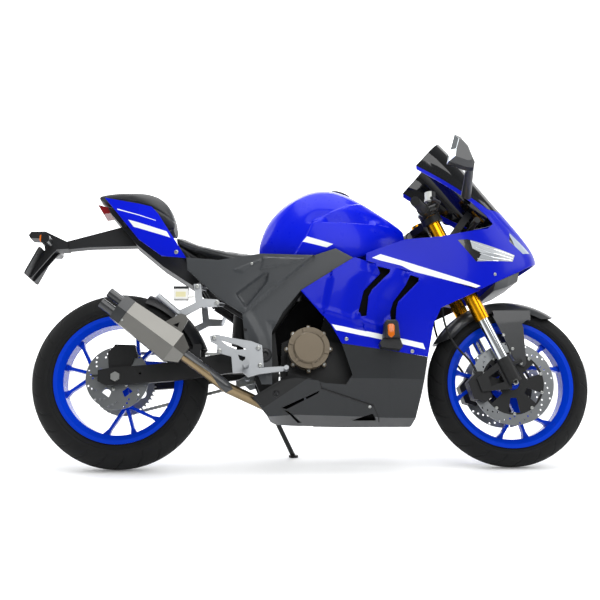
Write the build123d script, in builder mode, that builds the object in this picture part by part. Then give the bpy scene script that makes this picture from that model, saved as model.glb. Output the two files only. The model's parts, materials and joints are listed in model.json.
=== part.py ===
"""A faired sport bike, parked on its side stand.

Every piece is modelled on the upright bike: X forward from the rear axle, Y to the rider's left, Z up from
the ground. At the end all pieces lean onto the stand together and the origin moves to the bottom centre.
Lengths are millimetres and angles are degrees.
"""

import os
from math import asin, cos, degrees, pi, radians, sin, sqrt, tan

from build123d import *

# Wheels and tyres
wheelbase = 1400.0
rear_radius = 314.0
rear_width = 140.0
rear_crown = 58.0
front_radius = 293.0
front_width = 110.0
front_crown = 46.0
lip_radius = 228.0
bead_radius = 212.0
barrel_radius = 196.0
lip_width = 5.0
rear_rim_half = 60.0
front_rim_half = 46.0
spoke_groups = (46.0, 166.0, 286.0)
spoke_spread = 29.0
spoke_node_radius = 92.0
spoke_width = 13.0
spoke_thickness = 26.0
hub_radius = 44.0
axle_radius = 10.0

# Brakes and final drive
front_disc_radius = 148.0
front_disc_inner = 112.0
front_disc_offset = 72.0
rear_disc_radius = 110.0
rear_disc_inner = 78.0
rear_disc_offset = 82.0
disc_thickness = 5.0
drill_radius = 3.6
drill_turn = 7.5
chain_offset = 84.0
chain_pitch = 15.875
rear_teeth = 45
front_teeth = 14
sprocket_thickness = 6.0
chain_gap = 9.0
chain_plate = 2.4
chain_height = 13.0
pin_radius = 4.5
sprocket_x = 590.0
sprocket_z = 385.0

# Steering and fork
rake = 24.8
fork_offset = 35.0
fork_half = 102.0
fork_tube_radius = 26.0
fork_leg_radius = 20.5
fork_tube_low = 248.0
fork_tube_top = 690.0
fork_leg_low = 62.0
fork_leg_top = 420.0
lower_yoke_at = 488.0
upper_yoke_at = 640.0
yoke_height = 24.0
head_low = 516.0
head_top = 636.0
head_radius = 32.0
stem_radius = 15.0
stay_inner, stay_outer = 77.0, 83.0

# Fits
running_gap = 0.1
seat_gap = 0.3
seam_gap = 0.5
panel_wall = 4.0

# Swingarm and stand
pivot_x = 516.0
pivot_z = 380.0
pivot_radius = 22.0
arm_inner = 98.0
arm_outer = 122.0
spool_x, spool_z = 84.0, rear_radius + 12.0
spool_radius = 4.0
adjuster_reach = 22.0
spool_depth = 18.0
stand_pivot = Vector(545.0, 128.0, 215.0)
stand_foot = Vector(626.0, 257.0, 54.0)
lean = 11.17

# Derived datums
rear_axle = Vector(0, 0, rear_radius)
front_axle = Vector(wheelbase, 0, front_radius)
fork_up = Vector(-sin(radians(rake)), 0, cos(radians(rake)))
fork_forward = Vector(cos(radians(rake)), 0, sin(radians(rake)))
steer_base = front_axle - fork_forward * fork_offset
steer_plane = Plane(origin=steer_base, x_dir=fork_forward, z_dir=fork_up)

pieces: dict[str, Part] = {}


def keep(part: Part, label: str) -> None:
    """Label a finished piece and hold it until the whole bike leans."""
    part.label = label
    pieces[label] = part


def station(x: float) -> Plane:
    """The cross plane at x, with local axes Y and Z."""
    return Plane(origin=(x, 0, 0), x_dir=(0, 1, 0), z_dir=(1, 0, 0))


def outline(points: list, y: float = 0.0) -> Sketch:
    """A side-view outline of (x, z) points on the plane Y = -y; it extrudes to the right of the bike."""
    with BuildSketch(Plane.XZ.offset(y)) as sketch:
        with BuildLine():
            Polyline(*points, close=True)
        make_face()
    return sketch.sketch


def dome_section(x, low_z, low_y, wide_z, wide_y, brow_z, brow_y, top_z) -> Sketch:
    """A symmetrical cross section with a flat base, arched sides and an arched top."""
    with BuildSketch(station(x)) as sketch:
        with BuildLine():
            Line((-low_y, low_z), (low_y, low_z))
            ThreePointArc((low_y, low_z), (wide_y, wide_z), (brow_y, brow_z))
            ThreePointArc((brow_y, brow_z), (0, top_z), (-brow_y, brow_z))
            ThreePointArc((-brow_y, brow_z), (-wide_y, wide_z), (-low_y, low_z))
        make_face()
    return sketch.sketch


def strip_section(x, levels: list, wall: float) -> Sketch:
    """A thin right-hand panel section at x through (z, half width) levels, top first."""
    outer = [(-y, z) for z, y in levels]
    inner = [(-y + wall, z) for z, y in reversed(levels)]
    with BuildSketch(station(x)) as sketch:
        with BuildLine():
            Polyline(*outer, *inner, close=True)
        make_face()
    return sketch.sketch


def fill_section(x, levels: list, wall: float) -> Sketch:
    """The space inside a right-hand panel section, from the panel's inner face to the mid plane."""
    inner = [(-y + wall, z) for z, y in levels]
    with BuildSketch(station(x)) as sketch:
        with BuildLine():
            Polyline((0, levels[0][0]), *inner, (0, levels[-1][0]), close=True)
        make_face()
    return sketch.sketch


def strut(start, end, radius: float, mode: Mode = Mode.ADD) -> None:
    """A round bar between two points, added to the part being built."""
    start, end = Vector(*start), Vector(*end)
    with Locations(Plane(origin=start, z_dir=end - start)):
        Cylinder(radius, (end - start).length, align=(Align.CENTER, Align.CENTER, Align.MIN), mode=mode)


def wheel_axis(centre: Vector) -> Axis:
    return Axis(centre, (0, 1, 0))


def radial_plane(centre: Vector) -> Plane:
    """Local x is the radius ahead of a wheel centre and local y is Y."""
    return Plane(origin=centre, x_dir=(1, 0, 0), z_dir=(0, 0, 1))


def about(axle: Vector, points: list) -> list:
    """Side-view points that are measured from an axle."""
    return [(axle.X + x, axle.Z + z) for x, z in points]


def drill(inner: float, outer: float, rows: int, groups: int) -> None:
    """Curved rows of drilled holes between two radii of a brake disc, cut from the part being built."""
    pitch = (outer - inner) / (rows + 0.5)
    for row in range(rows):
        with PolarLocations(inner + (row + 0.75) * pitch, groups, start_angle=row * drill_turn):
            Cylinder(drill_radius, disc_thickness, mode=Mode.SUBTRACT)


def ring_profile(centre: Vector, points: list) -> Sketch:
    """A closed (radius, y) profile for a body turned about a wheel's axle."""
    with BuildSketch(radial_plane(centre)) as sketch:
        with BuildLine():
            Polyline(*points, close=True)
        make_face()
    return sketch.sketch


# Tyres: columns are name, centre, outer radius, section width, crown drop, rim half width
wheels = (
    ("rear", rear_axle, rear_radius, rear_width, rear_crown, rear_rim_half),
    ("front", front_axle, front_radius, front_width, front_crown, front_rim_half),
)
for name, centre, radius, width, crown, rim_half in wheels:
    bead = rim_half - lip_width - seat_gap
    wall_radius = lip_radius + seat_gap
    with BuildPart() as tyre:
        with BuildSketch(radial_plane(centre)):
            with BuildLine():
                Polyline(
                    (wall_radius, bead), (bead_radius + seat_gap, bead),
                    (bead_radius + seat_gap, -bead), (wall_radius, -bead),
                )
                Line((wall_radius, -bead), (radius - crown, -width / 2))
                ThreePointArc((radius - crown, -width / 2), (radius, 0), (radius - crown, width / 2))
                Line((radius - crown, width / 2), (wall_radius, bead))
            make_face()
        revolve(axis=wheel_axis(centre))
    keep(tyre.part, f"{name}_tyre")

# Cast wheels: three tridents of spokes between the hub and the rim
# Columns are name, centre, rim half width, hub end on the right, hub end on the left
rims = (
    ("rear", rear_axle, rear_rim_half, -(rear_disc_offset - disc_thickness / 2 - seat_gap),
     chain_offset - sprocket_thickness / 2 - seat_gap),
    ("front", front_axle, front_rim_half, -(front_disc_offset - disc_thickness / 2 - seat_gap),
     front_disc_offset - disc_thickness / 2 - seat_gap),
)
for name, centre, half, hub_right, hub_left in rims:
    rim_profile = [
        (lip_radius, -half), (lip_radius, -half + lip_width), (bead_radius, -half + lip_width),
        (bead_radius, half - lip_width), (lip_radius, half - lip_width), (lip_radius, half),
        (lip_radius - 14, half), (barrel_radius, half - 20), (barrel_radius, -half + 20), (lip_radius - 14, -half),
    ]
    with BuildPart() as rim:
        revolve(ring_profile(centre, rim_profile), axis=wheel_axis(centre))
        spoke_plane = Plane(origin=centre, x_dir=(1, 0, 0), z_dir=(0, -1, 0))
        with BuildSketch(spoke_plane):
            for angle in spoke_groups:
                node = Vector(spoke_node_radius, 0).rotate(Axis.Z, angle)
                arm_root = Vector(hub_radius - 16, 0).rotate(Axis.Z, angle)
                with BuildLine():
                    Polyline(
                        arm_root + Vector(0, 20).rotate(Axis.Z, angle), node + Vector(0, 11).rotate(Axis.Z, angle),
                        node - Vector(0, 11).rotate(Axis.Z, angle), arm_root - Vector(0, 20).rotate(Axis.Z, angle),
                        close=True,
                    )
                make_face()
                for step in (-1, 0, 1):
                    end = Vector(barrel_radius + 5, 0).rotate(Axis.Z, angle + step * spoke_spread)
                    across = (end - node).normalized().rotate(Axis.Z, 90)
                    back = node - (end - node).normalized() * 8
                    foot = end - (end - node).normalized() * 26
                    with BuildLine():
                        Polyline(
                            back + across * spoke_width / 2, foot + across * (spoke_width / 2 - 1), end + across * 13,
                            end - across * 13, foot - across * (spoke_width / 2 - 1), back - across * spoke_width / 2,
                            close=True,
                        )
                    make_face()
        extrude(amount=spoke_thickness / 2, both=True)
        hub = [
            (axle_radius + running_gap, hub_right), (hub_radius, hub_right), (hub_radius, hub_right + 12),
            (hub_radius - 10, hub_right + 24), (hub_radius - 10, hub_left - 24), (hub_radius, hub_left - 12),
            (hub_radius, hub_left), (axle_radius + running_gap, hub_left),
        ]
        revolve(ring_profile(centre, hub), axis=wheel_axis(centre))
        with Locations(Plane(origin=centre, z_dir=(0, 1, 0))):
            Cylinder(axle_radius + running_gap, 2 * hub_left + 40, mode=Mode.SUBTRACT)
    keep(rim.part, f"{name}_rim")

# Front brake discs on their carriers, one pair on each side of the hub
carrier_arms = 6
with BuildPart() as front_discs:
    for side in (-1, 1):
        with Locations(Plane(origin=front_axle + Vector(0, side * front_disc_offset, 0), z_dir=(0, 1, 0))):
            Cylinder(front_disc_radius, disc_thickness)
            Cylinder(front_disc_inner, disc_thickness, mode=Mode.SUBTRACT)
            drill(front_disc_inner, front_disc_radius, 4, 12)
keep(front_discs.part, "front_discs")

with BuildPart() as disc_carriers:
    for side in (-1, 1):
        plane = Plane(origin=front_axle + Vector(0, side * front_disc_offset, 0), z_dir=(0, 1, 0))
        with Locations(plane):
            Cylinder(front_disc_inner - seat_gap, disc_thickness)
            Cylinder(axle_radius + 14, disc_thickness, mode=Mode.SUBTRACT)
        with BuildSketch(plane.offset(-disc_thickness)):
            with PolarLocations((front_disc_inner + hub_radius) / 2, carrier_arms):
                Trapezoid(44, 52, 102, rotation=-90)
        extrude(amount=2 * disc_thickness, mode=Mode.SUBTRACT)
keep(disc_carriers.part, "front_disc_carriers")

with BuildPart() as rear_disc:
    disc_plane = Plane(origin=rear_axle + Vector(0, -rear_disc_offset, 0), z_dir=(0, 1, 0))
    with Locations(disc_plane):
        Cylinder(rear_disc_radius, disc_thickness)
        Cylinder(axle_radius + 14, disc_thickness, mode=Mode.SUBTRACT)
        drill(rear_disc_inner, rear_disc_radius, 3, 12)
    with BuildSketch(disc_plane.offset(-disc_thickness)):
        with PolarLocations((rear_disc_inner + hub_radius) / 2 - 2, 5):
            Trapezoid(34, 22, 102, rotation=-90)
    extrude(amount=2 * disc_thickness, mode=Mode.SUBTRACT)
keep(rear_disc.part, "rear_disc")

# Rear sprocket with real teeth, carried on the hub's left end
rear_pitch_radius = chain_pitch / (2 * sin(pi / rear_teeth))
front_pitch_radius = chain_pitch / (2 * sin(pi / front_teeth))
tooth_root = rear_pitch_radius - 5.0
tooth_tip = rear_pitch_radius + 3.5
with BuildPart() as rear_sprocket:
    sprocket_plane = Plane(origin=rear_axle + Vector(0, chain_offset, 0), z_dir=(0, 1, 0))
    with Locations(sprocket_plane):
        Cylinder(tooth_root, sprocket_thickness)
    with BuildSketch(sprocket_plane.offset(-sprocket_thickness / 2)):
        with PolarLocations((tooth_root + tooth_tip) / 2 - 1, rear_teeth):
            Trapezoid(10, tooth_tip - tooth_root + 2, 70, rotation=-90)
    extrude(amount=sprocket_thickness)
    with Locations(sprocket_plane):
        Cylinder(axle_radius + 14, sprocket_thickness, mode=Mode.SUBTRACT)
        with PolarLocations(74, 6):
            Cylinder(17, sprocket_thickness, mode=Mode.SUBTRACT)
keep(rear_sprocket.part, "rear_sprocket")

# Chain: two rows of plates round both sprockets, tied by pins along the free runs
run_dx, run_dz = sprocket_x, sprocket_z - rear_radius
run_length = sqrt(run_dx**2 + run_dz**2)
run_tilt = degrees(asin(run_dz / run_length))
wrap = degrees(asin((rear_pitch_radius - front_pitch_radius) / run_length))


def chain_loop(reach: float, y: float) -> Sketch:
    """The belt outline at a distance outside the pitch line, on the plane Y = y."""
    rear_r, front_r = rear_pitch_radius + reach, front_pitch_radius + reach
    up, down = radians(90 + run_tilt - wrap), radians(-90 + run_tilt + wrap)
    rear, front = Vector(0, rear_radius), Vector(sprocket_x, sprocket_z)

    def on(centre, r, angle):
        return centre + Vector(cos(angle), sin(angle)) * r

    with BuildSketch(Plane.XZ.offset(-y)) as sketch:
        with BuildLine():
            ThreePointArc(on(rear, rear_r, up), on(rear, rear_r, radians(180 + run_tilt)), on(rear, rear_r, down))
            Line(on(rear, rear_r, down), on(front, front_r, down))
            ThreePointArc(on(front, front_r, down), on(front, front_r, radians(run_tilt)), on(front, front_r, up))
            Line(on(front, front_r, up), on(rear, rear_r, up))
        make_face()
    return sketch.sketch


with BuildPart() as chain:
    for row in (-1, 1):
        inner_face = chain_offset + row * chain_gap / 2
        plate_start = inner_face if row < 0 else inner_face + chain_plate
        extrude(chain_loop(chain_height / 2, plate_start), amount=chain_plate)
        extrude(chain_loop(-chain_height / 2, plate_start), amount=chain_plate, mode=Mode.SUBTRACT)
    for side in (-1, 1):
        normal = radians(side * (90 - wrap) + run_tilt)
        start = Vector(0, 0, rear_radius) + Vector(cos(normal), 0, sin(normal)) * rear_pitch_radius
        finish = Vector(sprocket_x, 0, sprocket_z) + Vector(cos(normal), 0, sin(normal)) * front_pitch_radius
        first, last = 4, int((finish - start).length / chain_pitch) - 2
        for index in range(first, last):
            at = start + (finish - start).normalized() * index * chain_pitch
            strut((at.X, chain_offset - chain_gap / 2, at.Z), (at.X, chain_offset + chain_gap / 2, at.Z), pin_radius)
    for step in range(-3, 4):
        turn = radians(run_tilt + step * 360 / front_teeth)
        at = Vector(sprocket_x + front_pitch_radius * cos(turn), 0, sprocket_z + front_pitch_radius * sin(turn))
        strut((at.X, chain_offset - chain_gap / 2, at.Z), (at.X, chain_offset + chain_gap / 2, at.Z), pin_radius)
keep(chain.part, "chain")

# Front axle and rear axle with their nuts
with BuildPart() as front_axle_shaft:
    strut(front_axle - Vector(0, fork_half + 12, 0), front_axle + Vector(0, fork_half + 6, 0), axle_radius)
    strut(front_axle - Vector(0, fork_half + 20, 0), front_axle + Vector(0, fork_half + 20, 0), 6, Mode.SUBTRACT)
keep(front_axle_shaft.part, "front_axle")

nut_flat = 30.0
nut_height = 14.0
with BuildPart() as rear_axle_shaft:
    strut(rear_axle - Vector(0, arm_outer, 0), rear_axle + Vector(0, arm_outer, 0), axle_radius)
    for side in (-1, 1):
        with BuildSketch(Plane(origin=rear_axle + Vector(0, side * (arm_outer + seat_gap), 0), z_dir=(0, side, 0))):
            RegularPolygon(nut_flat / 2, 6, major_radius=False)
        extrude(amount=nut_height)
        strut(rear_axle + Vector(0, side * (arm_outer - 1), 0), rear_axle + Vector(0, side * (arm_outer + 1), 0), 9)
keep(rear_axle_shaft.part, "rear_axle")

# Fork: gold outer tubes, bright inner legs and cast feet, in the steering frame
def fork_plane(side: float, along: float) -> Plane:
    """A plane square to a fork leg at a distance along it from the axle."""
    return Plane(origin=steer_plane.from_local_coords(Vector(fork_offset, side * fork_half, along)),
                 x_dir=fork_forward, z_dir=fork_up)


bottom_up = (Align.CENTER, Align.CENTER, Align.MIN)
with BuildPart() as fork_tubes:
    for side in (-1, 1):
        with Locations(fork_plane(side, fork_tube_low)):
            Cylinder(fork_tube_radius, fork_tube_top - fork_tube_low, align=bottom_up)
            Cylinder(fork_leg_radius + seat_gap, fork_leg_top + 40 - fork_tube_low, align=bottom_up,
                     mode=Mode.SUBTRACT)
        with Locations(fork_plane(side, fork_tube_top)):
            Cylinder(fork_tube_radius - 5, 12, align=bottom_up)
keep(fork_tubes.part, "fork_tubes")

with BuildPart() as fork_legs:
    for side in (-1, 1):
        with Locations(fork_plane(side, fork_leg_low)):
            Cylinder(fork_leg_radius, fork_leg_top - fork_leg_low, align=bottom_up)
keep(fork_legs.part, "fork_legs")

foot_radius = 27.0
foot_top = 96.0
caliper_reach = 92.0
caliper_half = 28.0
with BuildPart() as fork_feet:
    for side in (-1, 1):
        with Locations(fork_plane(side, 0)):
            Cylinder(foot_radius, foot_top, align=bottom_up)
        axle_end = front_axle + Vector(0, side * fork_half, 0)
        strut(axle_end - Vector(0, foot_radius - 7, 0), axle_end + Vector(0, foot_radius - 7, 0), foot_radius)
        caliper_face = side * (front_disc_offset + caliper_half + seat_gap)
        with BuildSketch(Plane(origin=front_axle + Vector(0, caliper_face, 0), x_dir=fork_forward, z_dir=(0, -1, 0))):
            with BuildLine():
                Polyline((-10, 14), (-10, 92), (-caliper_reach - 26, 70), (-caliper_reach - 30, 20), (-20, -16),
                         close=True)
            make_face()
            with BuildLine():
                Polyline((-34, 18), (-34, 64), (-caliper_reach + 14, 56), (-caliper_reach + 8, 24), close=True)
            make_face(mode=Mode.SUBTRACT)
        extrude(amount=-side * 9)
        stay_lug = front_axle + Vector(30, side * (stay_outer + 8.3), 79)
        strut(axle_end + Vector(-24, 0, 59), stay_lug, 8)
        with Locations(fork_plane(side, fork_leg_low)):
            Cylinder(fork_leg_radius + seat_gap, foot_top, align=bottom_up, mode=Mode.SUBTRACT)
        strut(axle_end - Vector(0, 60, 0), axle_end + Vector(0, 60, 0), axle_radius + running_gap, Mode.SUBTRACT)
keep(fork_feet.part, "fork_feet")

# Calipers straddle each disc behind the fork foot
caliper_gap = 2.0
with BuildPart() as front_calipers:
    for side in (-1, 1):
        middle = front_axle + Vector(0, side * front_disc_offset, 0)
        with BuildSketch(Plane(origin=middle, x_dir=fork_forward, z_dir=(0, -1, 0))):
            with BuildLine():
                Polyline((-caliper_reach - 4, -12), (-caliper_reach + 6, 84), (-caliper_reach - 12, 92),
                         (-caliper_reach - 58, 72), (-caliper_reach - 66, 10), (-caliper_reach - 34, -18), close=True)
            make_face()
        extrude(amount=caliper_half, both=True)
        with Locations(Plane(origin=middle, z_dir=(0, 1, 0))):
            Cylinder(front_disc_radius + 4, disc_thickness + 2 * caliper_gap, mode=Mode.SUBTRACT)
keep(front_calipers.part, "front_calipers")

# Yokes and stem
clamp_radius = fork_tube_radius + 12
with BuildPart() as yokes:
    for along in (lower_yoke_at, upper_yoke_at):
        with BuildSketch(steer_plane.offset(along)):
            with BuildLine():
                Polyline((fork_offset + 16, -fork_half), (fork_offset + 16, fork_half), (fork_offset - 24, fork_half),
                         (-38, 34), (-38, -34), (fork_offset - 24, -fork_half), close=True)
            make_face()
            with Locations((fork_offset, -fork_half), (fork_offset, fork_half)):
                Circle(clamp_radius)
            with Locations((fork_offset, -fork_half), (fork_offset, fork_half)):
                Circle(fork_tube_radius + seat_gap, mode=Mode.SUBTRACT)
        extrude(amount=yoke_height)
    with Locations(steer_plane.offset(lower_yoke_at)):
        Cylinder(stem_radius, upper_yoke_at + yoke_height + 8 - lower_yoke_at, align=bottom_up)
keep(yokes.part, "yokes")

# Clip-on bars, grips and hand controls
bar_clamp_at = 668.0
bar_clamp_height = 22.0
bar_radius = 11.0
grip_radius = 16.5
bar_run = Vector(-0.36, 1.0, -0.13).normalized()
bar_start, grip_start, grip_end, bar_end = 20.0, 132.0, 252.0, 268.0


def bar_point(side: float, along: float) -> Vector:
    """A point on a handlebar's centre line, from the clamp outwards."""
    root = steer_plane.from_local_coords(Vector(fork_offset, side * fork_half, bar_clamp_at + bar_clamp_height / 2))
    return root + Vector(bar_run.X, bar_run.Y * side, bar_run.Z) * along


with BuildPart() as clip_ons:
    for side in (-1, 1):
        with Locations(fork_plane(side, bar_clamp_at)):
            Cylinder(clamp_radius - 2, bar_clamp_height, align=bottom_up)
        strut(bar_point(side, bar_start), bar_point(side, bar_end), bar_radius)
        strut(bar_point(side, grip_end + seat_gap), bar_point(side, bar_end + 12), grip_radius)
        with Locations(fork_plane(side, bar_clamp_at - 30)):
            Cylinder(fork_tube_radius + seat_gap, 90, align=bottom_up, mode=Mode.SUBTRACT)
keep(clip_ons.part, "clip_ons")

with BuildPart() as grips:
    for side in (-1, 1):
        strut(bar_point(side, grip_start), bar_point(side, grip_end), grip_radius)
        strut(bar_point(side, grip_start - 4), bar_point(side, grip_start + 4), grip_radius + 4)
        strut(bar_point(side, grip_start - 30), bar_point(side, grip_end + 30), bar_radius + seat_gap, Mode.SUBTRACT)
keep(grips.part, "grips")

lever_ahead = 44.0
with BuildPart() as hand_controls:
    for side in (-1, 1):
        along = Vector(bar_run.X, bar_run.Y * side, bar_run.Z)
        ahead = (Vector(1, 0, 0.3) - along * along.dot(Vector(1, 0, 0.3))).normalized()
        strut(bar_point(side, 66), bar_point(side, grip_start - 6), 21)
        strut(bar_point(side, 84), bar_point(side, 84) + ahead * lever_ahead, 12)
        pivot = bar_point(side, 84) + ahead * lever_ahead
        strut(pivot, bar_point(side, 140) + ahead * (lever_ahead + 18), 7)
        strut(bar_point(side, 140) + ahead * (lever_ahead + 18), bar_point(side, 236) + ahead * (lever_ahead + 8), 6)
        strut(bar_point(side, 0), bar_point(side, grip_end), bar_radius + seat_gap, Mode.SUBTRACT)
    base = bar_point(-1, 78) + Vector(8, 0, 14)
    with Locations(Plane(origin=base + Vector(14, 0, 22))):
        Cylinder(20, 34, align=bottom_up)
        Cylinder(22, 8, align=bottom_up)
    strut(base + Vector(14, 0, 26), base + Vector(-6, 0, 0), 6)
keep(hand_controls.part, "hand_controls")

# Front mudguard: an arc over the tyre with side stays down to the fork feet
guard_gap = 12.0
guard_wall = 3.0
guard_half = 68.0
guard_from = 55.0
guard_to = 152.0
guard_drop = 42.0
bridge_inner = guard_half - 6
guard_shape = [(185, 420), (185, 264), (172, 243), (155, 236), (75, 232), (-140, 196), (-205, 168), (-255, 150),
               (-300, 146), (-330, 420)]
stay_shape = [(-62, 244), (78, 240), (44, 214), (48, 199), (51, 71), (42, 57), (20, 67), (4, 93), (-22, 164)]
bridge_shape = [(-62, 263), (76, 263), (76, 228), (-52, 228)]
with BuildPart() as front_mudguard:
    inner = front_radius + guard_gap
    edge = inner - guard_drop
    guard_start = Vector(cos(radians(guard_from)), 0, sin(radians(guard_from)))
    with BuildSketch(Plane(origin=front_axle, x_dir=guard_start, z_dir=Vector(-guard_start.Z, 0, guard_start.X))):
        with BuildLine():
            ThreePointArc((edge, -guard_half), (inner, 0), (edge, guard_half))
            Line((edge, guard_half), (edge, guard_half + guard_wall))
            ThreePointArc((edge, guard_half + guard_wall), (inner + guard_wall, 0), (edge, -guard_half - guard_wall))
            Line((edge, -guard_half - guard_wall), (edge, -guard_half))
        make_face()
    revolve(axis=Axis(front_axle, (0, -1, 0)), revolution_arc=guard_to - guard_from)
    extrude(outline(about(front_axle, guard_shape), -2 * guard_half), amount=4 * guard_half, mode=Mode.INTERSECT)
    for near in (-stay_outer, stay_inner):
        extrude(outline(about(front_axle, stay_shape), near), amount=stay_outer - stay_inner)
    for near in (-stay_outer, bridge_inner):
        extrude(outline(about(front_axle, bridge_shape), near), amount=stay_outer - bridge_inner)
keep(front_mudguard.part, "front_mudguard")

# Front brake hoses from the lower yoke down behind the fork to the calipers, in the steering frame
hose_radius = 4.0
hose_y = front_disc_offset + 16
hose_route = [
    (-30, lower_yoke_at - seat_gap), (-34, lower_yoke_at - 50), (-84, 320), (-88, 190), (-70, 128), (-69, 92.4),
]
with BuildPart() as front_brake_lines:
    for side in (-1, 1):
        with BuildLine() as hose_line:
            Spline(*[steer_plane.from_local_coords(Vector(x, side * hose_y, z)) for x, z in hose_route])
        with BuildSketch(Plane(origin=hose_line.line @ 0, z_dir=hose_line.line % 0)):
            Circle(hose_radius)
        sweep(path=hose_line.line)
keep(front_brake_lines.part, "front_brake_lines")

side_reach = 400.0


def across(points: list, y: float = side_reach) -> Sketch:
    """A side outline on the far left plane, to be extruded right through the bike."""
    return outline(points, -y)


# Side stand on its tilted pivot, with the foot flat on the ground of the leaning bike
stand_stowed = Vector(-0.99, 0.10, -0.05).normalized()
ground_up = Vector(0, -sin(radians(lean)), cos(radians(lean)))
crowns = [((width / 2) ** 2 + crown**2) / (2 * crown) for _, _, _, width, crown, _ in wheels]
tyre_sink = sum(crowns) / 2 * (1 - cos(radians(lean)))
stand_ground = Vector(stand_foot.X, stand_foot.Y, stand_foot.Y * tan(radians(lean))) - ground_up * tyre_sink
stand_down = (stand_ground - stand_pivot).normalized()
stand_sweep = (stand_down - stand_stowed).normalized()
stand_axis = (Vector(0, 1, 0) - stand_sweep * stand_sweep.Y).normalized()
stand_boss, stand_boss_length = 17.0, 22.0
stand_bolt = 6.0
foot_pad, foot_height = 18.0, 8.0
with BuildPart() as side_stand:
    strut(stand_pivot, stand_pivot + stand_axis * stand_boss_length, stand_boss)
    strut(stand_pivot + stand_axis * 11, stand_ground + ground_up * foot_height / 2, 9)
    strut(stand_ground, stand_ground + ground_up * foot_height, foot_pad)
    strut(stand_pivot - stand_axis * 20, stand_pivot + stand_axis * 60, stand_bolt + 2 * running_gap, Mode.SUBTRACT)
    strut(stand_pivot + stand_axis * stand_boss_length, stand_pivot + stand_axis * 60, 12, Mode.SUBTRACT)
keep(side_stand.part, "side_stand")

# Side fairings: columns are x then (z, half width) levels from the top down
fairing_rows = (
    (610, [(760, 190), (640, 214), (520, 215), (360, 190)]),
    (780, [(760, 204), (640, 222), (520, 214), (360, 190)]),
    (950, [(760, 204), (640, 222), (520, 208), (360, 176)]),
    (1080, [(760, 203), (640, 212), (520, 190), (360, 152)]),
    (1180, [(760, 198), (640, 200), (520, 176), (360, 140)]),
    (1290, [(760, 176), (640, 178), (520, 160), (360, 130)]),
)
fairing_shape = [
    (640, 602), (742, 483), (780, 418), (1084, 377), (1105, 496), (1112, 505), (1130, 545), (1186, 571),
    (1275, 611.4), (888, 702.4), (829, 721.4),
]
vent_shapes = (
    [(906, 688), (952, 676), (950, 664), (886, 602), (874, 580), (866, 512), (848, 510), (840, 530), (859, 602),
     (918, 664)],
    [(1022, 656), (1052, 647), (1050, 633), (978, 562), (971, 540), (967, 488), (952, 488), (951, 531), (961, 562),
     (1006, 622)],
)
liner_shape = [(820, 512), (846, 484), (990, 462), (1076, 640), (1062, 656), (960, 684), (902, 694)]
liner_bosses = ((836, 504), (985, 474), (1064, 640), (898, 682))
liner_depth, liner_wall = 16.0, 3.0
with BuildPart() as side_fairings:
    loft([strip_section(x, levels, panel_wall) for x, levels in fairing_rows], ruled=True)
    extrude(across(fairing_shape), amount=2 * side_reach, mode=Mode.INTERSECT)
    for shape in vent_shapes:
        extrude(across(shape), amount=2 * side_reach, mode=Mode.SUBTRACT)
    mirror(about=Plane.XZ)
keep(side_fairings.part, "side_fairings")
with BuildPart() as fairing_space:
    loft([fill_section(x, levels, panel_wall + seat_gap) for x, levels in fairing_rows], ruled=True)
    mirror(about=Plane.XZ)

# Dark liners close the fairing vents from inside, on bosses that reach the panel
with BuildPart() as vent_liners:
    liner_rows = [(x, [(z, y - liner_depth) for z, y in levels]) for x, levels in fairing_rows]
    loft([strip_section(x, levels, liner_wall) for x, levels in liner_rows], ruled=True)
    extrude(across(liner_shape), amount=2 * side_reach, mode=Mode.INTERSECT)
    for x, z in liner_bosses:
        strut((x, -165, z), (x, -300, z), 6)
    add(fairing_space.part, mode=Mode.INTERSECT)
    mirror(about=Plane.XZ)
keep(vent_liners.part, "vent_liners")

# Frame cover sections: columns as for the side fairings
cover_rows = (
    (225, [(790, 136), (500, 150), (270, 150)]),
    (440, [(790, 158), (500, 172), (270, 172)]),
    (560, [(790, 172), (500, 178), (270, 176)]),
    (840, [(790, 194), (500, 200), (270, 190)]),
)
rearset_spacers = ((494, 402), (500, 342))
cover_shape = [
    (238, 734), (353, 722), (500, 742), (687, 732), (764, 757), (827, 721), (640, 606), (578, 530), (540, 462),
    (541, 280), (505, 280), (447, 425), (437, 526), (350, 586), (242, 690),
]
spar_band = [
    (681, 733), (764, 757), (827, 721), (640, 606), (578, 530), (540, 462), (541, 280), (505, 280), (447, 425), (440, 526),
]
pocket_shape = [(413, 599), (511, 673), (531, 673), (526, 638), (449, 541), (418, 588)]
cover_step, pocket_lap = 5.0, 3.0
with BuildPart() as cover_space:
    loft([fill_section(x, levels, panel_wall + seat_gap) for x, levels in cover_rows], ruled=True)
    mirror(about=Plane.XZ)

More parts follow.
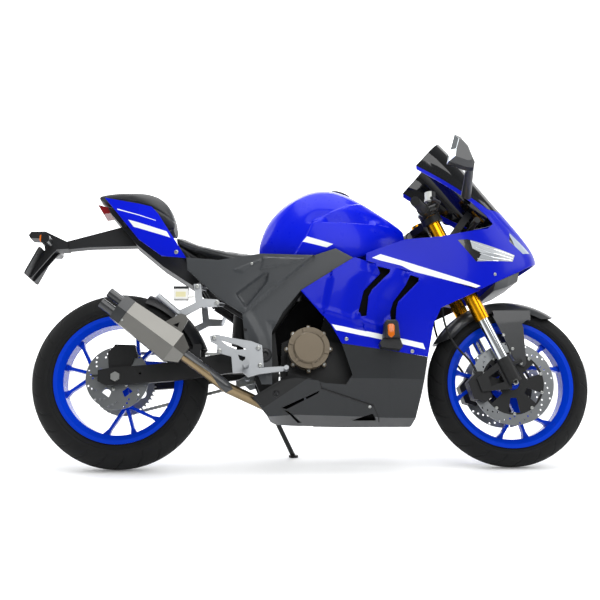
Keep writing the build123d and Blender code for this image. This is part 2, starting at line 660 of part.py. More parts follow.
# Main frame: head tube, twin spars, pivot plates and tail rails
spar_outer = 122.0
plate_shape = [(548, 500), (490, 500), (480, 300), (500, 250), (560, 250), (566, 330)]
plate_inner = 100.0
rail_radius = 11.0
seat_normal = Vector(0.313, 0, 0.95)
tank_normal = Vector(-0.332, 0, 0.943)
crank_half, crank_narrow, cylinder_half = 118.0, 68.0, 82.0
with BuildPart() as frame:
    with Locations(steer_plane.offset(head_low)):
        Cylinder(head_radius, head_top - head_low, align=bottom_up)
    head_mid = steer_plane.from_local_coords(Vector(0, 0, (head_low + head_top) / 2))
    for side in (-1, 1):
        elbow = Vector(head_mid.X - 120, side * 108, head_mid.Z - 56)
        strut(head_mid - Vector(0, 0, 26), elbow, 24)
        strut(elbow, (640, side * 108, 640), 24)
        strut((640, side * 108, 640), (pivot_x + 10, side * 112, 470), 22)
        strut((440, side * 84, 640), (150, side * 62, 820), rail_radius)
        strut((640, side * 108, 640), (440, side * 84, 640), rail_radius)
        strut((520, side * 108, 480), (330, side * 92, 600), rail_radius)
        strut((330, side * 92, 600), (230, side * 68, 770), rail_radius)
        tank_rest = Vector(900, side * 100, 751.3)
        strut(tank_rest - tank_normal * 36, tank_rest - tank_normal * seat_gap, 12)
        strut((670, side * 96, 650), (670, side * 96, 735.2), 9)
        strut((1034, side * 84, 750), (1034, side * 84, 620.1), 8)
        strut((820, side * 108, 684), (820, side * 108, 630), 13)
        strut((820, side * 112, 642), (820, side * (cylinder_half + seat_gap), 642), 9)
        strut((332, side * 78, 704), Vector(340, side * 78, 745) - seat_normal * 0.9, 7)
    extrude(outline([(525, 280), (581.5, 276.1), (592.7, 248.9), (525, 256)], -50), amount=100)
    for near in (-spar_outer, plate_inner):
        extrude(outline(plate_shape, near), amount=spar_outer - plate_inner)
    strut((640, -108, 640), (640, 108, 640), 16)
    strut((150, -62, 820), (150, 62, 820), rail_radius)
    strut((440, -84, 640), (440, 84, 640), 14)
    strut((530, -112, 268), (530, 112, 268), 12)
    strut((pivot_x, -spar_outer - 8, pivot_z), (pivot_x, spar_outer + 8, pivot_z), 12)
    extrude(outline([(496, 300), (556, 300), (572, 215), (556, 192), (530, 192), (512, 215)], -114),
            amount=12)
    strut(stand_pivot - stand_axis * 22, stand_pivot - stand_axis * seat_gap, stand_boss)
    strut(stand_pivot - stand_axis * 14, stand_pivot + stand_axis * (stand_boss_length + 8), stand_bolt)
    strut(stand_pivot + stand_axis * (stand_boss_length + seat_gap),
          stand_pivot + stand_axis * (stand_boss_length + 9), 11)
    with BuildPart(mode=Mode.PRIVATE) as fairing_brackets:
        for side in (-1, 1):
            strut((800, side * 120, 690), (800, side * 300, 660), 8)
        add(fairing_space.part, mode=Mode.INTERSECT)
    add(fairing_brackets.part)
    with BuildPart(mode=Mode.PRIVATE) as cover_brackets:
        for side in (-1, 1):
            strut((640, side * 110, 650), (640, side * 300, 650), 9)
            strut((430, side * 88, 640), (420, side * 300, 660), 8)
        add(cover_space.part, mode=Mode.INTERSECT)
    add(cover_brackets.part)
    with Locations(steer_plane.offset(head_low - 20)):
        Cylinder(stem_radius + running_gap, head_top - head_low + 40, align=bottom_up, mode=Mode.SUBTRACT)
keep(frame.part, "frame")

# Engine: crankcase, leaning cylinder and head as one block
with BuildPart() as engine:
    case = [(572, 300), (600, 232), (830, 226), (868, 300), (850, 400), (800, 440), (640, 470), (576, 440)]
    extrude(outline(case, -crank_narrow), amount=2 * crank_narrow)
    extrude(outline([(660, 250), (820, 240), (852, 300), (838, 396), (790, 430), (660, 452)], -crank_half),
            amount=crank_half)
    right_case = [(596, 300), (620, 250), (820, 240), (852, 300), (838, 396), (790, 430), (640, 455), (596, 430)]
    extrude(outline(right_case), amount=crank_half)
    extrude(outline([(700, 430), (850, 390), (910, 560), (895, 640), (800, 660), (750, 600)], -cylinder_half),
            amount=2 * cylinder_half)
    sprocket_centre = Vector(sprocket_x, 0, sprocket_z)
    strut(sprocket_centre, sprocket_centre + Vector(0, chain_offset + sprocket_thickness, 0), 13)
    strut(sprocket_centre + Vector(0, chain_offset - sprocket_thickness / 2, 0),
          sprocket_centre + Vector(0, chain_offset + sprocket_thickness / 2, 0),
          front_pitch_radius - pin_radius - seat_gap)
keep(engine.part, "engine")

clutch_x, clutch_z, clutch_radius = 668.0, 413.0, 72.0
clutch_ribs, clutch_bosses = 6, 8
with BuildPart() as clutch_cover:
    with Locations(Plane(origin=(clutch_x, -crank_half - seat_gap, clutch_z - 6), z_dir=(0, -1, 0))):
        Cylinder(clutch_radius, 56, align=bottom_up)
        Cylinder(clutch_radius - 18, 68, align=bottom_up)
        with PolarLocations(clutch_radius - 12, clutch_ribs, start_angle=15):
            Box(22, 8, 62, align=bottom_up)
        with PolarLocations(clutch_radius + 4, clutch_bosses):
            Cylinder(8, 24, align=bottom_up)
    chamfer(clutch_cover.faces().sort_by(Axis.Y)[0].outer_wire().edges(), 5)

with BuildPart() as generator_cover:
    with Locations(Plane(origin=(745, crank_half + seat_gap, 345), z_dir=(0, 1, 0))):
        Cylinder(70, 38, align=bottom_up)
    chamfer(generator_cover.faces().sort_by(Axis.Y)[-1].outer_wire().edges(), 8)

sprocket_guard_inner, sprocket_guard_outer = 96.0, 108.0
with BuildPart() as sprocket_cover:
    extrude(outline([(572, 345), (600, 330), (656, 340), (656, 440), (600, 448), (572, 436)], -sprocket_guard_outer),
            amount=sprocket_guard_outer - sprocket_guard_inner)
    extrude(outline([(640, 345), (659.5, 345), (659.5, 440), (640, 440)], -sprocket_guard_outer), amount=30)
with BuildPart() as engine_covers:
    add(clutch_cover.part)
    add(generator_cover.part)
    add(sprocket_cover.part)
keep(engine_covers.part, "engine_covers")

# Radiator behind the front wheel
with BuildPart() as radiator:
    core = Plane(origin=(1012, 0, 505), x_dir=(0, 1, 0), z_dir=(cos(radians(12)), 0, -sin(radians(12))))
    with Locations(core):
        Box(220, 230, 34)
        Box(280, 210, 26)
keep(radiator.part, "radiator")

# Swingarm: two arms, a cross brace and the pivot tube
with BuildPart() as swingarm:
    arm = [
        (-62, rear_radius - 14), (-62, rear_radius + 24), (-20, rear_radius + 32), (134, rear_radius + 44),
        (420, pivot_z + 22), (452, pivot_z + 20), (452, pivot_z - 34), (420, pivot_z - 50), (197, rear_radius - 14),
        (-30, rear_radius - 30),
    ]
    for near in (-arm_outer, arm_inner):
        extrude(outline(arm, near), amount=arm_outer - arm_inner)
    brace = [(340, 345), (350, 385), (420, pivot_z + 20), (448, pivot_z + 18), (448, pivot_z - 32)]
    extrude(outline(brace, -arm_outer + 1), amount=2 * arm_outer - 2)
    for near in (-72, 40):
        link = [(440, pivot_z - 28), (440, pivot_z + 18), (pivot_x + 24, pivot_z + 18), (pivot_x + 24, pivot_z - 18)]
        extrude(outline(link, near), amount=32)
    for side in (-1, 1):
        arm_end = rear_axle + Vector(-62, side * (arm_inner + arm_outer) / 2, 6)
        strut(arm_end + Vector(4, 0, 0), arm_end - Vector(adjuster_reach, 0, 0), 4)
    strut((pivot_x, -plate_inner + seam_gap, pivot_z), (pivot_x, plate_inner - seam_gap, pivot_z), pivot_radius)
    strut((pivot_x, -150, pivot_z), (pivot_x, 150, pivot_z), 12 + running_gap, Mode.SUBTRACT)
    strut(rear_axle - Vector(0, 150, 0), rear_axle + Vector(0, 150, 0), axle_radius + running_gap, Mode.SUBTRACT)
    for side in (-1, 1):
        mouth = Vector(spool_x, side * arm_outer, spool_z)
        strut(mouth, mouth - Vector(0, side * spool_depth, 0), spool_radius, Mode.SUBTRACT)
keep(swingarm.part, "swingarm")

# Upper bodywork: one envelope gives the cowl, the screen and the lamp lenses
# Columns are x, low z, low y, widest z, widest y, brow z, brow y, top z
cowl_rows = (
    (870, 600, 208, 760, 205, 1120, 150, 1300),
    (1060, 560, 205, 780, 203, 1110, 150, 1300),
    (1180, 560, 196, 790, 199, 1060, 150, 1206),
    (1290, 560, 175, 770, 186, 960, 140, 1075),
    (1400, 590, 120, 740, 148, 860, 110, 940),
    (1480, 640, 60, 735, 92, 800, 70, 842),
    (1525, 715, 16, 745, 26, 765, 18, 775),
)


def cowl_inside(wall: float) -> list:
    """Cross sections of the space a wall thickness inside the upper envelope."""
    inside = []
    for x, low_z, low_y, wide_z, wide_y, brow_z, brow_y, top_z in cowl_rows[:-1]:
        inside.append(dome_section(x, low_z - wall, low_y - wall, wide_z, wide_y - wall, brow_z - wall / 2,
                                   brow_y - wall, top_z - wall))
    x, low_z, low_y, wide_z, wide_y, brow_z, brow_y, top_z = cowl_rows[-1]
    inside.append(dome_section(x - 2 * wall, low_z + 2, low_y - 6, wide_z, wide_y - 8, brow_z - 4, brow_y - 6,
                               top_z - wall - 2))
    return inside


with BuildPart() as envelope:
    loft([dome_section(*row) for row in cowl_rows])
    loft(cowl_inside(panel_wall), mode=Mode.SUBTRACT)
with BuildPart() as cowl_space:
    loft(cowl_inside(panel_wall + seat_gap))

cowl_shape = [
    (830, 722), (1010, 788), (1138, 800), (1315, 839), (1340, 862), (1318, 893), (1259, 944), (1153, 1012),
    (1067, 1066), (1067, 1080), (1153, 1029), (1259, 963), (1330, 922), (1560, 922), (1560, 745), (1525, 742),
    (1436, 692), (1275, 612), (888, 703),
]
side_lens_shape = [(1197, 788), (1233, 792), (1416, 748), (1405, 722), (1260, 710)]
front_lens_shape = [(1408, 839), (1492, 771), (1455, 760), (1400, 800)]
screen_shape = [(1066, 1081), (1153, 1030), (1259, 964), (1330, 923), (1560, 923), (1400, 1100), (1182, 1210)]


with BuildPart() as upper_cowl:
    add(envelope.part)
    extrude(across(cowl_shape), amount=2 * side_reach, mode=Mode.INTERSECT)
    for shape in (side_lens_shape, front_lens_shape):
        extrude(across(shape), amount=2 * side_reach, mode=Mode.SUBTRACT)
keep(upper_cowl.part, "upper_cowl")

with BuildPart() as windscreen:
    add(envelope.part)
    extrude(across(screen_shape), amount=2 * side_reach, mode=Mode.INTERSECT)
keep(windscreen.part, "windscreen")

with BuildPart() as headlights:
    add(envelope.part)
    with BuildSketch(Plane.XZ.offset(-side_reach)):
        add(across(side_lens_shape))
        add(across(front_lens_shape))
        offset(amount=-seam_gap, kind=Kind.INTERSECTION)
    extrude(amount=2 * side_reach, mode=Mode.INTERSECT)
keep(headlights.part, "headlights")

# Nose under-panel closes the cowl below the lamps
# Columns are x, underside z, top z, half width
nose_rows = ((1332, 616.0, 639.7, 171), (1388, 636.0, 667.5, 146), (1434, 662.0, 690.3, 116))
with BuildPart() as nose_panel:
    sections = []
    for x, under, top, half in nose_rows:
        with BuildSketch(station(x)) as section:
            with BuildLine():
                Polyline((-half, top), (half, top), (0.8 * half, under), (-0.8 * half, under), close=True)
            make_face()
        sections.append(section.sketch)
    loft(sections, ruled=True)
keep(nose_panel.part, "nose_panel")

# Fairing stay and instrument between the head tube and the cowl
with BuildPart() as fairing_stay:
    with Locations(steer_plane.offset(556)):
        with Locations((100, 0, 0)):
            Box(150, 44, 36)
    strut(head_mid + fork_forward * 168 - Vector(0, 260, 0), head_mid + fork_forward * 168 + Vector(0, 260, 0), 12)
    add(cowl_space.part, mode=Mode.INTERSECT)
    with Locations(steer_plane.offset(500)):
        Cylinder(head_radius + seat_gap, 200, align=bottom_up, mode=Mode.SUBTRACT)
    dash = Plane(origin=(1252, 0, 896), x_dir=(0, 1, 0), z_dir=(-0.8, 0, 0.6))
    with Locations(dash):
        Box(150, 78, 26)
    strut((1256, 0, 890), head_mid + fork_forward * 168, 10)
keep(fairing_stay.part, "instrument_stay")

# Mirrors on stems out of the cowl
# Columns are distance from the mid plane and share of the full outline
mirror_shape = [(1156, 1073), (1174, 1133), (1194, 1124), (1221, 1091), (1242, 1028), (1237, 1007), (1209, 1009),
                (1150, 1031)]
mirror_rows = ((278, 0.7), (300, 1.0), (330, 0.96), (352, 0.62))
mirror_middle = (1200, 1062)
stem_root, stem_top = Vector(1246, -128, 944), Vector(1232, -296, 1032)
with BuildPart() as mirrors:
    sections = []
    for reach, share in mirror_rows:
        scaled = [(mirror_middle[0] + share * (x - mirror_middle[0]), mirror_middle[1] + share * (z - mirror_middle[1]))
                  for x, z in mirror_shape]
        sections.append(outline(scaled, reach))
    loft(sections, ruled=True)
    stem_sections = []
    for place, wide, deep in ((stem_root, 40, 22), (stem_top, 28, 16)):
        with BuildSketch(Plane(origin=place, x_dir=(1, 0, 0), z_dir=stem_top - stem_root)) as stem_section:
            Ellipse(wide / 2, deep / 2)
        stem_sections.append(stem_section.sketch)
    loft(stem_sections)
    loft(cowl_inside(-seat_gap), mode=Mode.SUBTRACT)
    mirror(about=Plane.XZ)
keep(mirrors.part, "mirrors")

# Belly pan in two halves
belly_rows = (
    (460, [(420, 168), (280, 165), (170, 130), (160, 12)]),
    (620, [(420, 198), (300, 188), (180, 130), (150, 12)]),
    (800, [(420, 198), (300, 184), (175, 120), (146, 12)]),
    (950, [(420, 188), (300, 170), (170, 105), (146, 12)]),
    (1090, [(420, 163), (300, 138), (170, 85), (146, 12)]),
)
belly_shape = [
    (1084, 376.4), (780, 417.4), (816, 312), (794, 279), (721, 284), (645, 307), (607, 317), (473, 239), (535, 163),
    (594, 140), (1036, 130), (1065, 262),
]
belly_left_shape = [
    (1084, 376.4), (780, 417.4), (816, 312), (794, 279), (721, 284), (690, 290), (690, 130), (1036, 130), (1065, 262),
]


def belly_section(x, levels: list, wall: float) -> Sketch:
    """An L-shaped right-hand belly section: side wall, slanted flank and flat keel."""
    (z0, y0), (z1, y1), (z2, y2), (z3, y3) = levels
    with BuildSketch(station(x)) as sketch:
        with BuildLine():
            Polyline((-y0, z0), (-y1, z1), (-y2, z2), (-y3, z3), (-y3, z3 + wall), (-y2 + wall, z2 + wall),
                     (-y1 + wall, z1), (-y0 + wall, z0), close=True)
        make_face()
    return sketch.sketch


with BuildPart() as belly_whole:
    loft([belly_section(x, levels, panel_wall) for x, levels in belly_rows], ruled=True)
belly_step = 3.0
belly_rear_shape = [(700, 292), (710, 265), (891, 209), (923, 145), (594, 152), (540, 168), (484, 238), (607, 306), (645, 298)]
belly_slots = (
    [(573, 203), (649, 236), (652, 228), (607, 206), (590, 198)], [(654, 237), (703, 259), (698, 250), (660, 231)],
    [(580, 196), (595, 192), (646, 158), (632, 158)], [(818, 163), (890, 184), (906, 163)],
)
with BuildPart() as belly_raised:
    raised_rows = [(x, [(z, y + belly_step if y > 100 else y) for z, y in levels]) for x, levels in belly_rows]
    loft([belly_section(x, levels, panel_wall + belly_step) for x, levels in raised_rows], ruled=True)
    extrude(across(belly_rear_shape), amount=2 * side_reach, mode=Mode.INTERSECT)
with BuildPart() as belly_right:
    add(belly_whole.part)
    extrude(across(belly_shape), amount=2 * side_reach, mode=Mode.INTERSECT)
    add(belly_raised.part)
    for shape in belly_slots:
        extrude(across(shape), amount=2 * side_reach, mode=Mode.SUBTRACT)
with BuildPart() as belly_left:
    add(mirror(belly_whole.part, about=Plane.XZ, mode=Mode.PRIVATE))
    extrude(across(belly_left_shape), amount=2 * side_reach, mode=Mode.INTERSECT)
with BuildPart() as belly_pan:
    add(belly_right.part)
    add(belly_left.part)
keep(belly_pan.part, "belly_pan")

# Fuel tank: columns as for the upper envelope
tank_rows = (
    (495, 740, 70, 775, 76, 795, 60, 806),
    (560, 720, 110, 830, 118, 905, 85, 940),
    (640, 710, 135, 850, 150, 965, 105, 1000),
    (740, 700, 150, 860, 160, 985, 110, 1026),
    (850, 710, 150, 850, 150, 955, 95, 993),
    (950, 740, 110, 840, 115, 905, 70, 930),
    (1030, 780, 60, 835, 62, 860, 40, 868),
)
tank_shape = [
    (480, 756), (501, 754), (687, 735), (764, 760), (828, 726), (1010, 790), (1060, 800), (1060, 1100), (480, 1100),
]
with BuildPart() as fuel_tank:
    loft([dome_section(*row) for row in tank_rows])
    extrude(across(tank_shape), amount=2 * side_reach, mode=Mode.INTERSECT)
keep(fuel_tank.part, "fuel_tank")

with BuildPart() as fuel_cap:
    with Locations(Plane(origin=(800, 0, 1012), z_dir=(0.3, 0, 1))):
        Cylinder(42, 20, align=bottom_up)
    add(fuel_tank.part, mode=Mode.SUBTRACT)
keep(fuel_cap.part, "fuel_cap")


def pad_section(x, z_low, half, z_top) -> Sketch:
    """A seat cross section: flat underside, rounded flanks and a crowned top."""
    with BuildSketch(station(x)) as sketch:
        with BuildLine():
            Line((-half + 6, z_low), (half - 6, z_low))
            ThreePointArc((half - 6, z_low), (half, (z_low + z_top) / 2), (half - 14, z_top - 8))
            ThreePointArc((half - 14, z_top - 8), (0, z_top), (-half + 14, z_top - 8))
            ThreePointArc((-half + 14, z_top - 8), (-half, (z_low + z_top) / 2), (-half + 6, z_low))
        make_face()
    return sketch.sketch


# Seats: columns are x, underside z, half width, top z
rider_rows = (
    (186, 815, 80, 848), (260, 775, 105, 812), (340, 745, 125, 785), (420, 722, 120, 774), (484, 735, 70, 782),
)
with BuildPart() as rider_seat:
    loft([pad_section(*row) for row in rider_rows])
keep(rider_seat.part, "rider_seat")
pillion_rows = (
    (-108, 985, 36, 1004), (-60, 962, 58, 1010), (40, 930, 92, 1005), (130, 885, 92, 985), (188, 852, 76, 892),
)
with BuildPart() as pillion_seat:
    loft([pad_section(*row) for row in pillion_rows])
keep(pillion_seat.part, "pillion_seat")

# Tail side panels
tail_rows = (
    (-90, [(1010, 60), (940, 66), (690, 56)]),
    (60, [(1010, 100), (880, 118), (690, 100)]),
    (150, [(1010, 106), (830, 134), (690, 116)]),
    (250, [(1010, 108), (760, 142), (690, 130)]),
)
tail_shape = [(-72, 982), (106, 933), (130, 906), (236, 736), (148, 747), (63, 811)]
with BuildPart() as tail_panels:
    loft([strip_section(x, levels, panel_wall) for x, levels in tail_rows], ruled=True)
    extrude(across(tail_shape), amount=2 * side_reach, mode=Mode.INTERSECT)
    mirror(about=Plane.XZ)
keep(tail_panels.part, "tail_panels")
with BuildPart() as tail_space:
    loft([fill_section(x, levels, panel_wall + seat_gap) for x, levels in tail_rows], ruled=True)
    mirror(about=Plane.XZ)

with BuildPart() as tail_light:
    extrude(outline([(-100, 962), (-62.3, 952), (-52.3, 930), (-78, 926)], -44), amount=88)
keep(tail_light.part, "tail_light")

pillion_normal = Vector(0.375, 0, 0.927)
with BuildPart() as undertray:
    extrude(outline([(-62, 952), (-52, 930), (45, 811), (146, 726), (252, 656), (330, 690), (330, 735), (190, 800),
                     (120, 870)], -48), amount=96)
    for side in (-1, 1):
        strut((34, side * 30, 900), Vector(40, side * 30, 930) - pillion_normal * 0.8, 7)
    with BuildPart(mode=Mode.PRIVATE) as tail_brackets:
        for side in (-1, 1):
            strut((90, side * 46, 836), (90, side * 200, 836), 8)
            strut((10, side * 46, 880), (10, side * 200, 905), 8)
        add(tail_space.part, mode=Mode.INTERSECT)
    add(tail_brackets.part)
    strut((150, -70, 820), (150, 70, 820), rail_radius + seat_gap, Mode.SUBTRACT)
keep(undertray.part, "undertray")

plate_plane = Plane(origin=(-314, 0, 738), x_dir=(0, 1, 0), z_dir=(-0.897, 0, 0.444))
plate_hole_pitch, plate_hole_radius, plate_thickness = 150.0, 3.5, 5.0
plate_hole_drop = -28.0
neck_half = 30.0
tail_arm = [(-14.1, 883), (44.2, 811.4), (-128, 806), (-221, 796), (-225, 824)]
neck_shape = [(-205, 822), (-290, 863), (-341, 862), (-350, 849), (-344, 838), (-307, 836), (-294, 820), (-288, 792),
              (-205, 797)]
flange_shape = [(-284, 800), (-292, 786), (-339, 692), (-333, 686), (-262, 776), (-240, 800)]
with BuildPart() as plate_holder:
    extrude(outline(tail_arm, -20), amount=40)
    extrude(outline(neck_shape, -neck_half), amount=2 * neck_half)
    for near in (-neck_half, neck_half - 8):
        extrude(outline(flange_shape, near), amount=8)
    with BuildSketch(plate_plane):
        RectangleRounded(190, 112, 12)
        with Locations((-plate_hole_pitch / 2, plate_hole_drop), (plate_hole_pitch / 2, plate_hole_drop)):
            Circle(plate_hole_radius, mode=Mode.SUBTRACT)
    extrude(amount=plate_thickness)
keep(plate_holder.part, "plate_holder")

lamp_x, lamp_z = -270.0, 812.0
with BuildPart() as rear_indicators:
    for side in (-1, 1):
        strut((lamp_x, side * (neck_half + seat_gap), lamp_z), (lamp_x, side * 70, lamp_z), 6)
        with Locations((lamp_x, side * 92, lamp_z)):
            Box(34, 54, 30)
    fillet(rear_indicators.edges().filter_by(Axis.Y).filter_by(GeomType.LINE), 10)
keep(rear_indicators.part, "rear_indicators")

# Frame covers over the pivot area and below the seat
with BuildPart() as frame_covers:
    loft([strip_section(x, levels, panel_wall) for x, levels in cover_rows], ruled=True)
    extrude(across(cover_shape), amount=2 * side_reach, mode=Mode.INTERSECT)
    extrude(across(pocket_shape), amount=2 * side_reach, mode=Mode.SUBTRACT)
    with BuildPart(mode=Mode.PRIVATE) as pocket_floor:
        sunk_rows = [(x, [(z, y - panel_wall / 2) for z, y in levels]) for x, levels in cover_rows]
        loft([strip_section(x, levels, 1.5 * panel_wall) for x, levels in sunk_rows], ruled=True)
        with BuildSketch(Plane.XZ.offset(-side_reach)):
            add(across(pocket_shape))
            offset(amount=pocket_lap, kind=Kind.INTERSECTION)
        extrude(amount=2 * side_reach, mode=Mode.INTERSECT)
    add(pocket_floor.part)
    with BuildPart(mode=Mode.PRIVATE) as raised_band:
        proud_rows = [(x, [(z, y + cover_step) for z, y in levels]) for x, levels in cover_rows]
        loft([strip_section(x, levels, panel_wall + cover_step) for x, levels in proud_rows], ruled=True)
        extrude(across(spar_band), amount=2 * side_reach, mode=Mode.INTERSECT)
    add(raised_band.part)
    for x, z in rearset_spacers:
        strut((x, -300, z), (x, -100, z), 9, Mode.SUBTRACT)
    mirror(about=Plane.XZ)
keep(frame_covers.part, "frame_covers")

# Exhaust: header under the engine and the silencer high on the right
silencer_start = Vector(244, -198, 374)
silencer_end = Vector(50, -224, 516)
silencer_run = silencer_end - silencer_start
pipe_radius = 19.0
pipe_path = [
    (896.4, -40, 519.8), (936, -40, 506), (930, -60, 420), (905, -80, 204), (620, -84, 201), (518, -88, 216),
    silencer_start - silencer_run * 0.74, silencer_start + silencer_run * 0.018,
]
with BuildPart() as exhaust_pipe:
    with BuildLine() as pipe_line:
        FilletPolyline(*pipe_path, radius=30)
    with BuildSketch(Plane(origin=pipe_line.line @ 0, z_dir=pipe_line.line % 0)):
        Circle(pipe_radius)
    sweep(path=pipe_line.line)
keep(exhaust_pipe.part, "exhaust_pipe")

shield_wall = 3.0
shield_shape = [(246, 402), (277, 400), (347, 358), (380, 314), (408, 262), (384, 250), (361, 271), (330, 318), (240, 374)]
shield_slots = ((300, 372), (322, 358), (344, 342))
with BuildPart() as heat_shield:
    with BuildSketch(Plane(origin=pipe_line.line @ 0, z_dir=pipe_line.line % 0)):
        Circle(pipe_radius + seat_gap + shield_wall)
        Circle(pipe_radius + seat_gap, mode=Mode.SUBTRACT)
    sweep(path=pipe_line.line)
    extrude(across(shield_shape), amount=2 * side_reach, mode=Mode.INTERSECT)
    for x, z in shield_slots:
        slot = [(x - 4, z + 14), (x + 2, z + 14), (x + 12, z - 22), (x + 6, z - 22)]
        extrude(outline(slot, 150), amount=side_reach, mode=Mode.SUBTRACT)
keep(heat_shield.part, "heat_shield")


def silencer_section(along: float, wide: float, tall: float) -> Sketch:
    """A six-sided silencer section at a fraction of its length."""
    with BuildSketch(Plane(origin=silencer_start + silencer_run * along, x_dir=(0, 1, 0), z_dir=silencer_run)) as s:
        with BuildLine():
            Polyline((-wide / 2, 0), (-wide / 3, tall / 2), (wide / 3, tall / 2), (wide / 2, 0), (wide / 3, -tall / 2),
                     (-wide / 3, -tall / 2), close=True)
        make_face()
    return s.sketch


bracket_y, bracket_wall = 195.0, 6.0
bracket_shape = [(160, 470), (173, 493), (229, 522), (246, 516), (254, 500), (222, 440)]
bracket_window = [(202, 482), (224, 492), (218, 474)]
with BuildPart() as silencer:
    loft([silencer_section(0.02, 62, 62), silencer_section(0.2, 92, 112), silencer_section(1.0, 96, 92)], ruled=True)
    extrude(outline(bracket_shape, bracket_y), amount=bracket_wall)
    extrude(outline(bracket_window, bracket_y), amount=bracket_wall, mode=Mode.SUBTRACT)
keep(silencer.part, "silencer")
with BuildPart() as silencer_cap:
    loft([silencer_section(1.002, 97, 94), silencer_section(1.16, 84, 92)], ruled=True)
    for side in (-1, 1):
        with Locations(Plane(origin=silencer_start + silencer_run * 1.14, x_dir=(0, 1, 0), z_dir=silencer_run)):
            with Locations((0, side * 22)):
                Cylinder(17, 60, align=bottom_up)
                Cylinder(14, 64, align=bottom_up, mode=Mode.SUBTRACT)
keep(silencer_cap.part, "silencer_cap")

# Foot controls, pillion hangers, rear shock and mudguard
rearset_shape = [
    (328, 444), (347, 450), (423, 434), (470, 426), (506, 412), (512, 338), (486, 328), (433, 318), (407, 316), (402, 373),
    (371, 382), (352, 384), (353, 413), (330, 426),
]
rearset_windows = (
    [(364, 430), (423, 412), (456, 398), (423, 396), (388, 411)], [(424, 380), (450, 372), (446, 354), (430, 362)],
)
rearset_y, rearset_wall = 190.0, 8.0
pedal_shape = [(440, 318), (459, 301), (498, 311), (585, 322), (597, 328), (590, 336), (567, 337), (489, 332), (452, 330)]
with BuildPart() as rearsets:
    extrude(outline(rearset_shape, rearset_y), amount=rearset_wall)
    for shape in rearset_windows:
        extrude(outline(shape, rearset_y), amount=rearset_wall, mode=Mode.SUBTRACT)
    strut((452, -150, 345), (452, -285, 339), 11)
    for x, z in rearset_spacers:
        strut((x, -spar_outer - seat_gap, z), (x, -rearset_y - rearset_wall - 4, z), 8)
    for x, z in ((343, 437), (362, 392)):
        strut((x, -rearset_y, z), (x, -rearset_y - rearset_wall - 4, z), 9)
    extrude(outline(pedal_shape, rearset_y + rearset_wall), amount=12)
    strut((588, -rearset_y - rearset_wall, 328), (588, -252, 328), 8)
    mirror(about=Plane.XZ)
keep(rearsets.part, "rearsets")

hanger_y, hanger_wall = 180.0, 12.0
hanger_shape = [
    (270, 628), (294, 628), (300, 576), (352, 573), (362, 562), (352, 549), (298, 547), (236, 513), (246, 494), (230, 488),
    (206, 512), (216, 532), (276, 562),
]
with BuildPart() as pillion_hangers:
    extrude(outline(hanger_shape, hanger_y), amount=hanger_wall)
    for x, z in ((282, 618), (351, 561)):
        strut((x, -hanger_y, z), (x, -hanger_y - hanger_wall - 4, z), 9)
    strut((282, -186, 619), (310, -88, 632), 7)
    strut((351, -186, 557), (370, -96, 574), 7)
    strut((222, -190, 524), (148, -214, 584), 9)
    strut((520, -108, 480), (330, -92, 600), rail_radius + seat_gap, Mode.SUBTRACT)
    strut((330, -92, 600), (230, -68, 770), rail_radius + seat_gap, Mode.SUBTRACT)
    mirror(about=Plane.XZ)
keep(pillion_hangers.part, "pillion_hangers")

with BuildPart() as rear_reservoir:
    with Locations((228, -205, 591)):
        Box(50, 34, 44)
    strut((246, -196, 580), (271.6, -188, 586), 5)
keep(rear_reservoir.part, "rear_reservoir")

with BuildPart() as rear_shock:
    strut((424, 0, 402.6), (439, 0, 625.4), 13)
    strut((427, 0, 440), (437, 0, 590), 33)
keep(rear_shock.part, "rear_shock")

def arm_top(x: float) -> float:
    """The height of the swingarm's upper edge at x."""
    return rear_radius + 44 + (pivot_z + 22 - rear_radius - 44) * (x - 134) / (420 - 134)


hugger_from, hugger_to = 20.0, 72.0
hugger_half, hugger_wall, hugger_drop = 70.0, 3.0, 40.0
with BuildPart() as rear_hugger:
    inner = rear_radius + guard_gap
    edge = inner - hugger_drop
    start = Vector(cos(radians(hugger_from)), 0, sin(radians(hugger_from)))
    with BuildSketch(Plane(origin=rear_axle, x_dir=start, z_dir=Vector(-start.Z, 0, start.X))):
        with BuildLine():
            ThreePointArc((edge, -hugger_half), (inner, 0), (edge, hugger_half))
            Line((edge, hugger_half), (edge, hugger_half + hugger_wall))
            ThreePointArc((edge, hugger_half + hugger_wall), (inner + hugger_wall, 0),
                          (edge, -hugger_half - hugger_wall))
            Line((edge, -hugger_half - hugger_wall), (edge, -hugger_half))
        make_face()
    revolve(axis=Axis(rear_axle, (0, -1, 0)), revolution_arc=hugger_to - hugger_from)
    wing = [(255, arm_top(255) + 18), (290, arm_top(290) + 14), (290, rear_radius + 122), (262, rear_radius + 122)]
    for near in (-hugger_half - hugger_wall, hugger_half):
        extrude(outline(wing, near), amount=hugger_wall)
    perch = [(255, arm_top(255) + 0.8), (290, arm_top(290) + 0.8), (290, arm_top(290) + 28), (255, arm_top(255) + 34)]
    for near in (-arm_outer + 8, hugger_half):
        extrude(outline(perch, near), amount=arm_outer - 8 - hugger_half)
keep(rear_hugger.part, "rear_hugger")

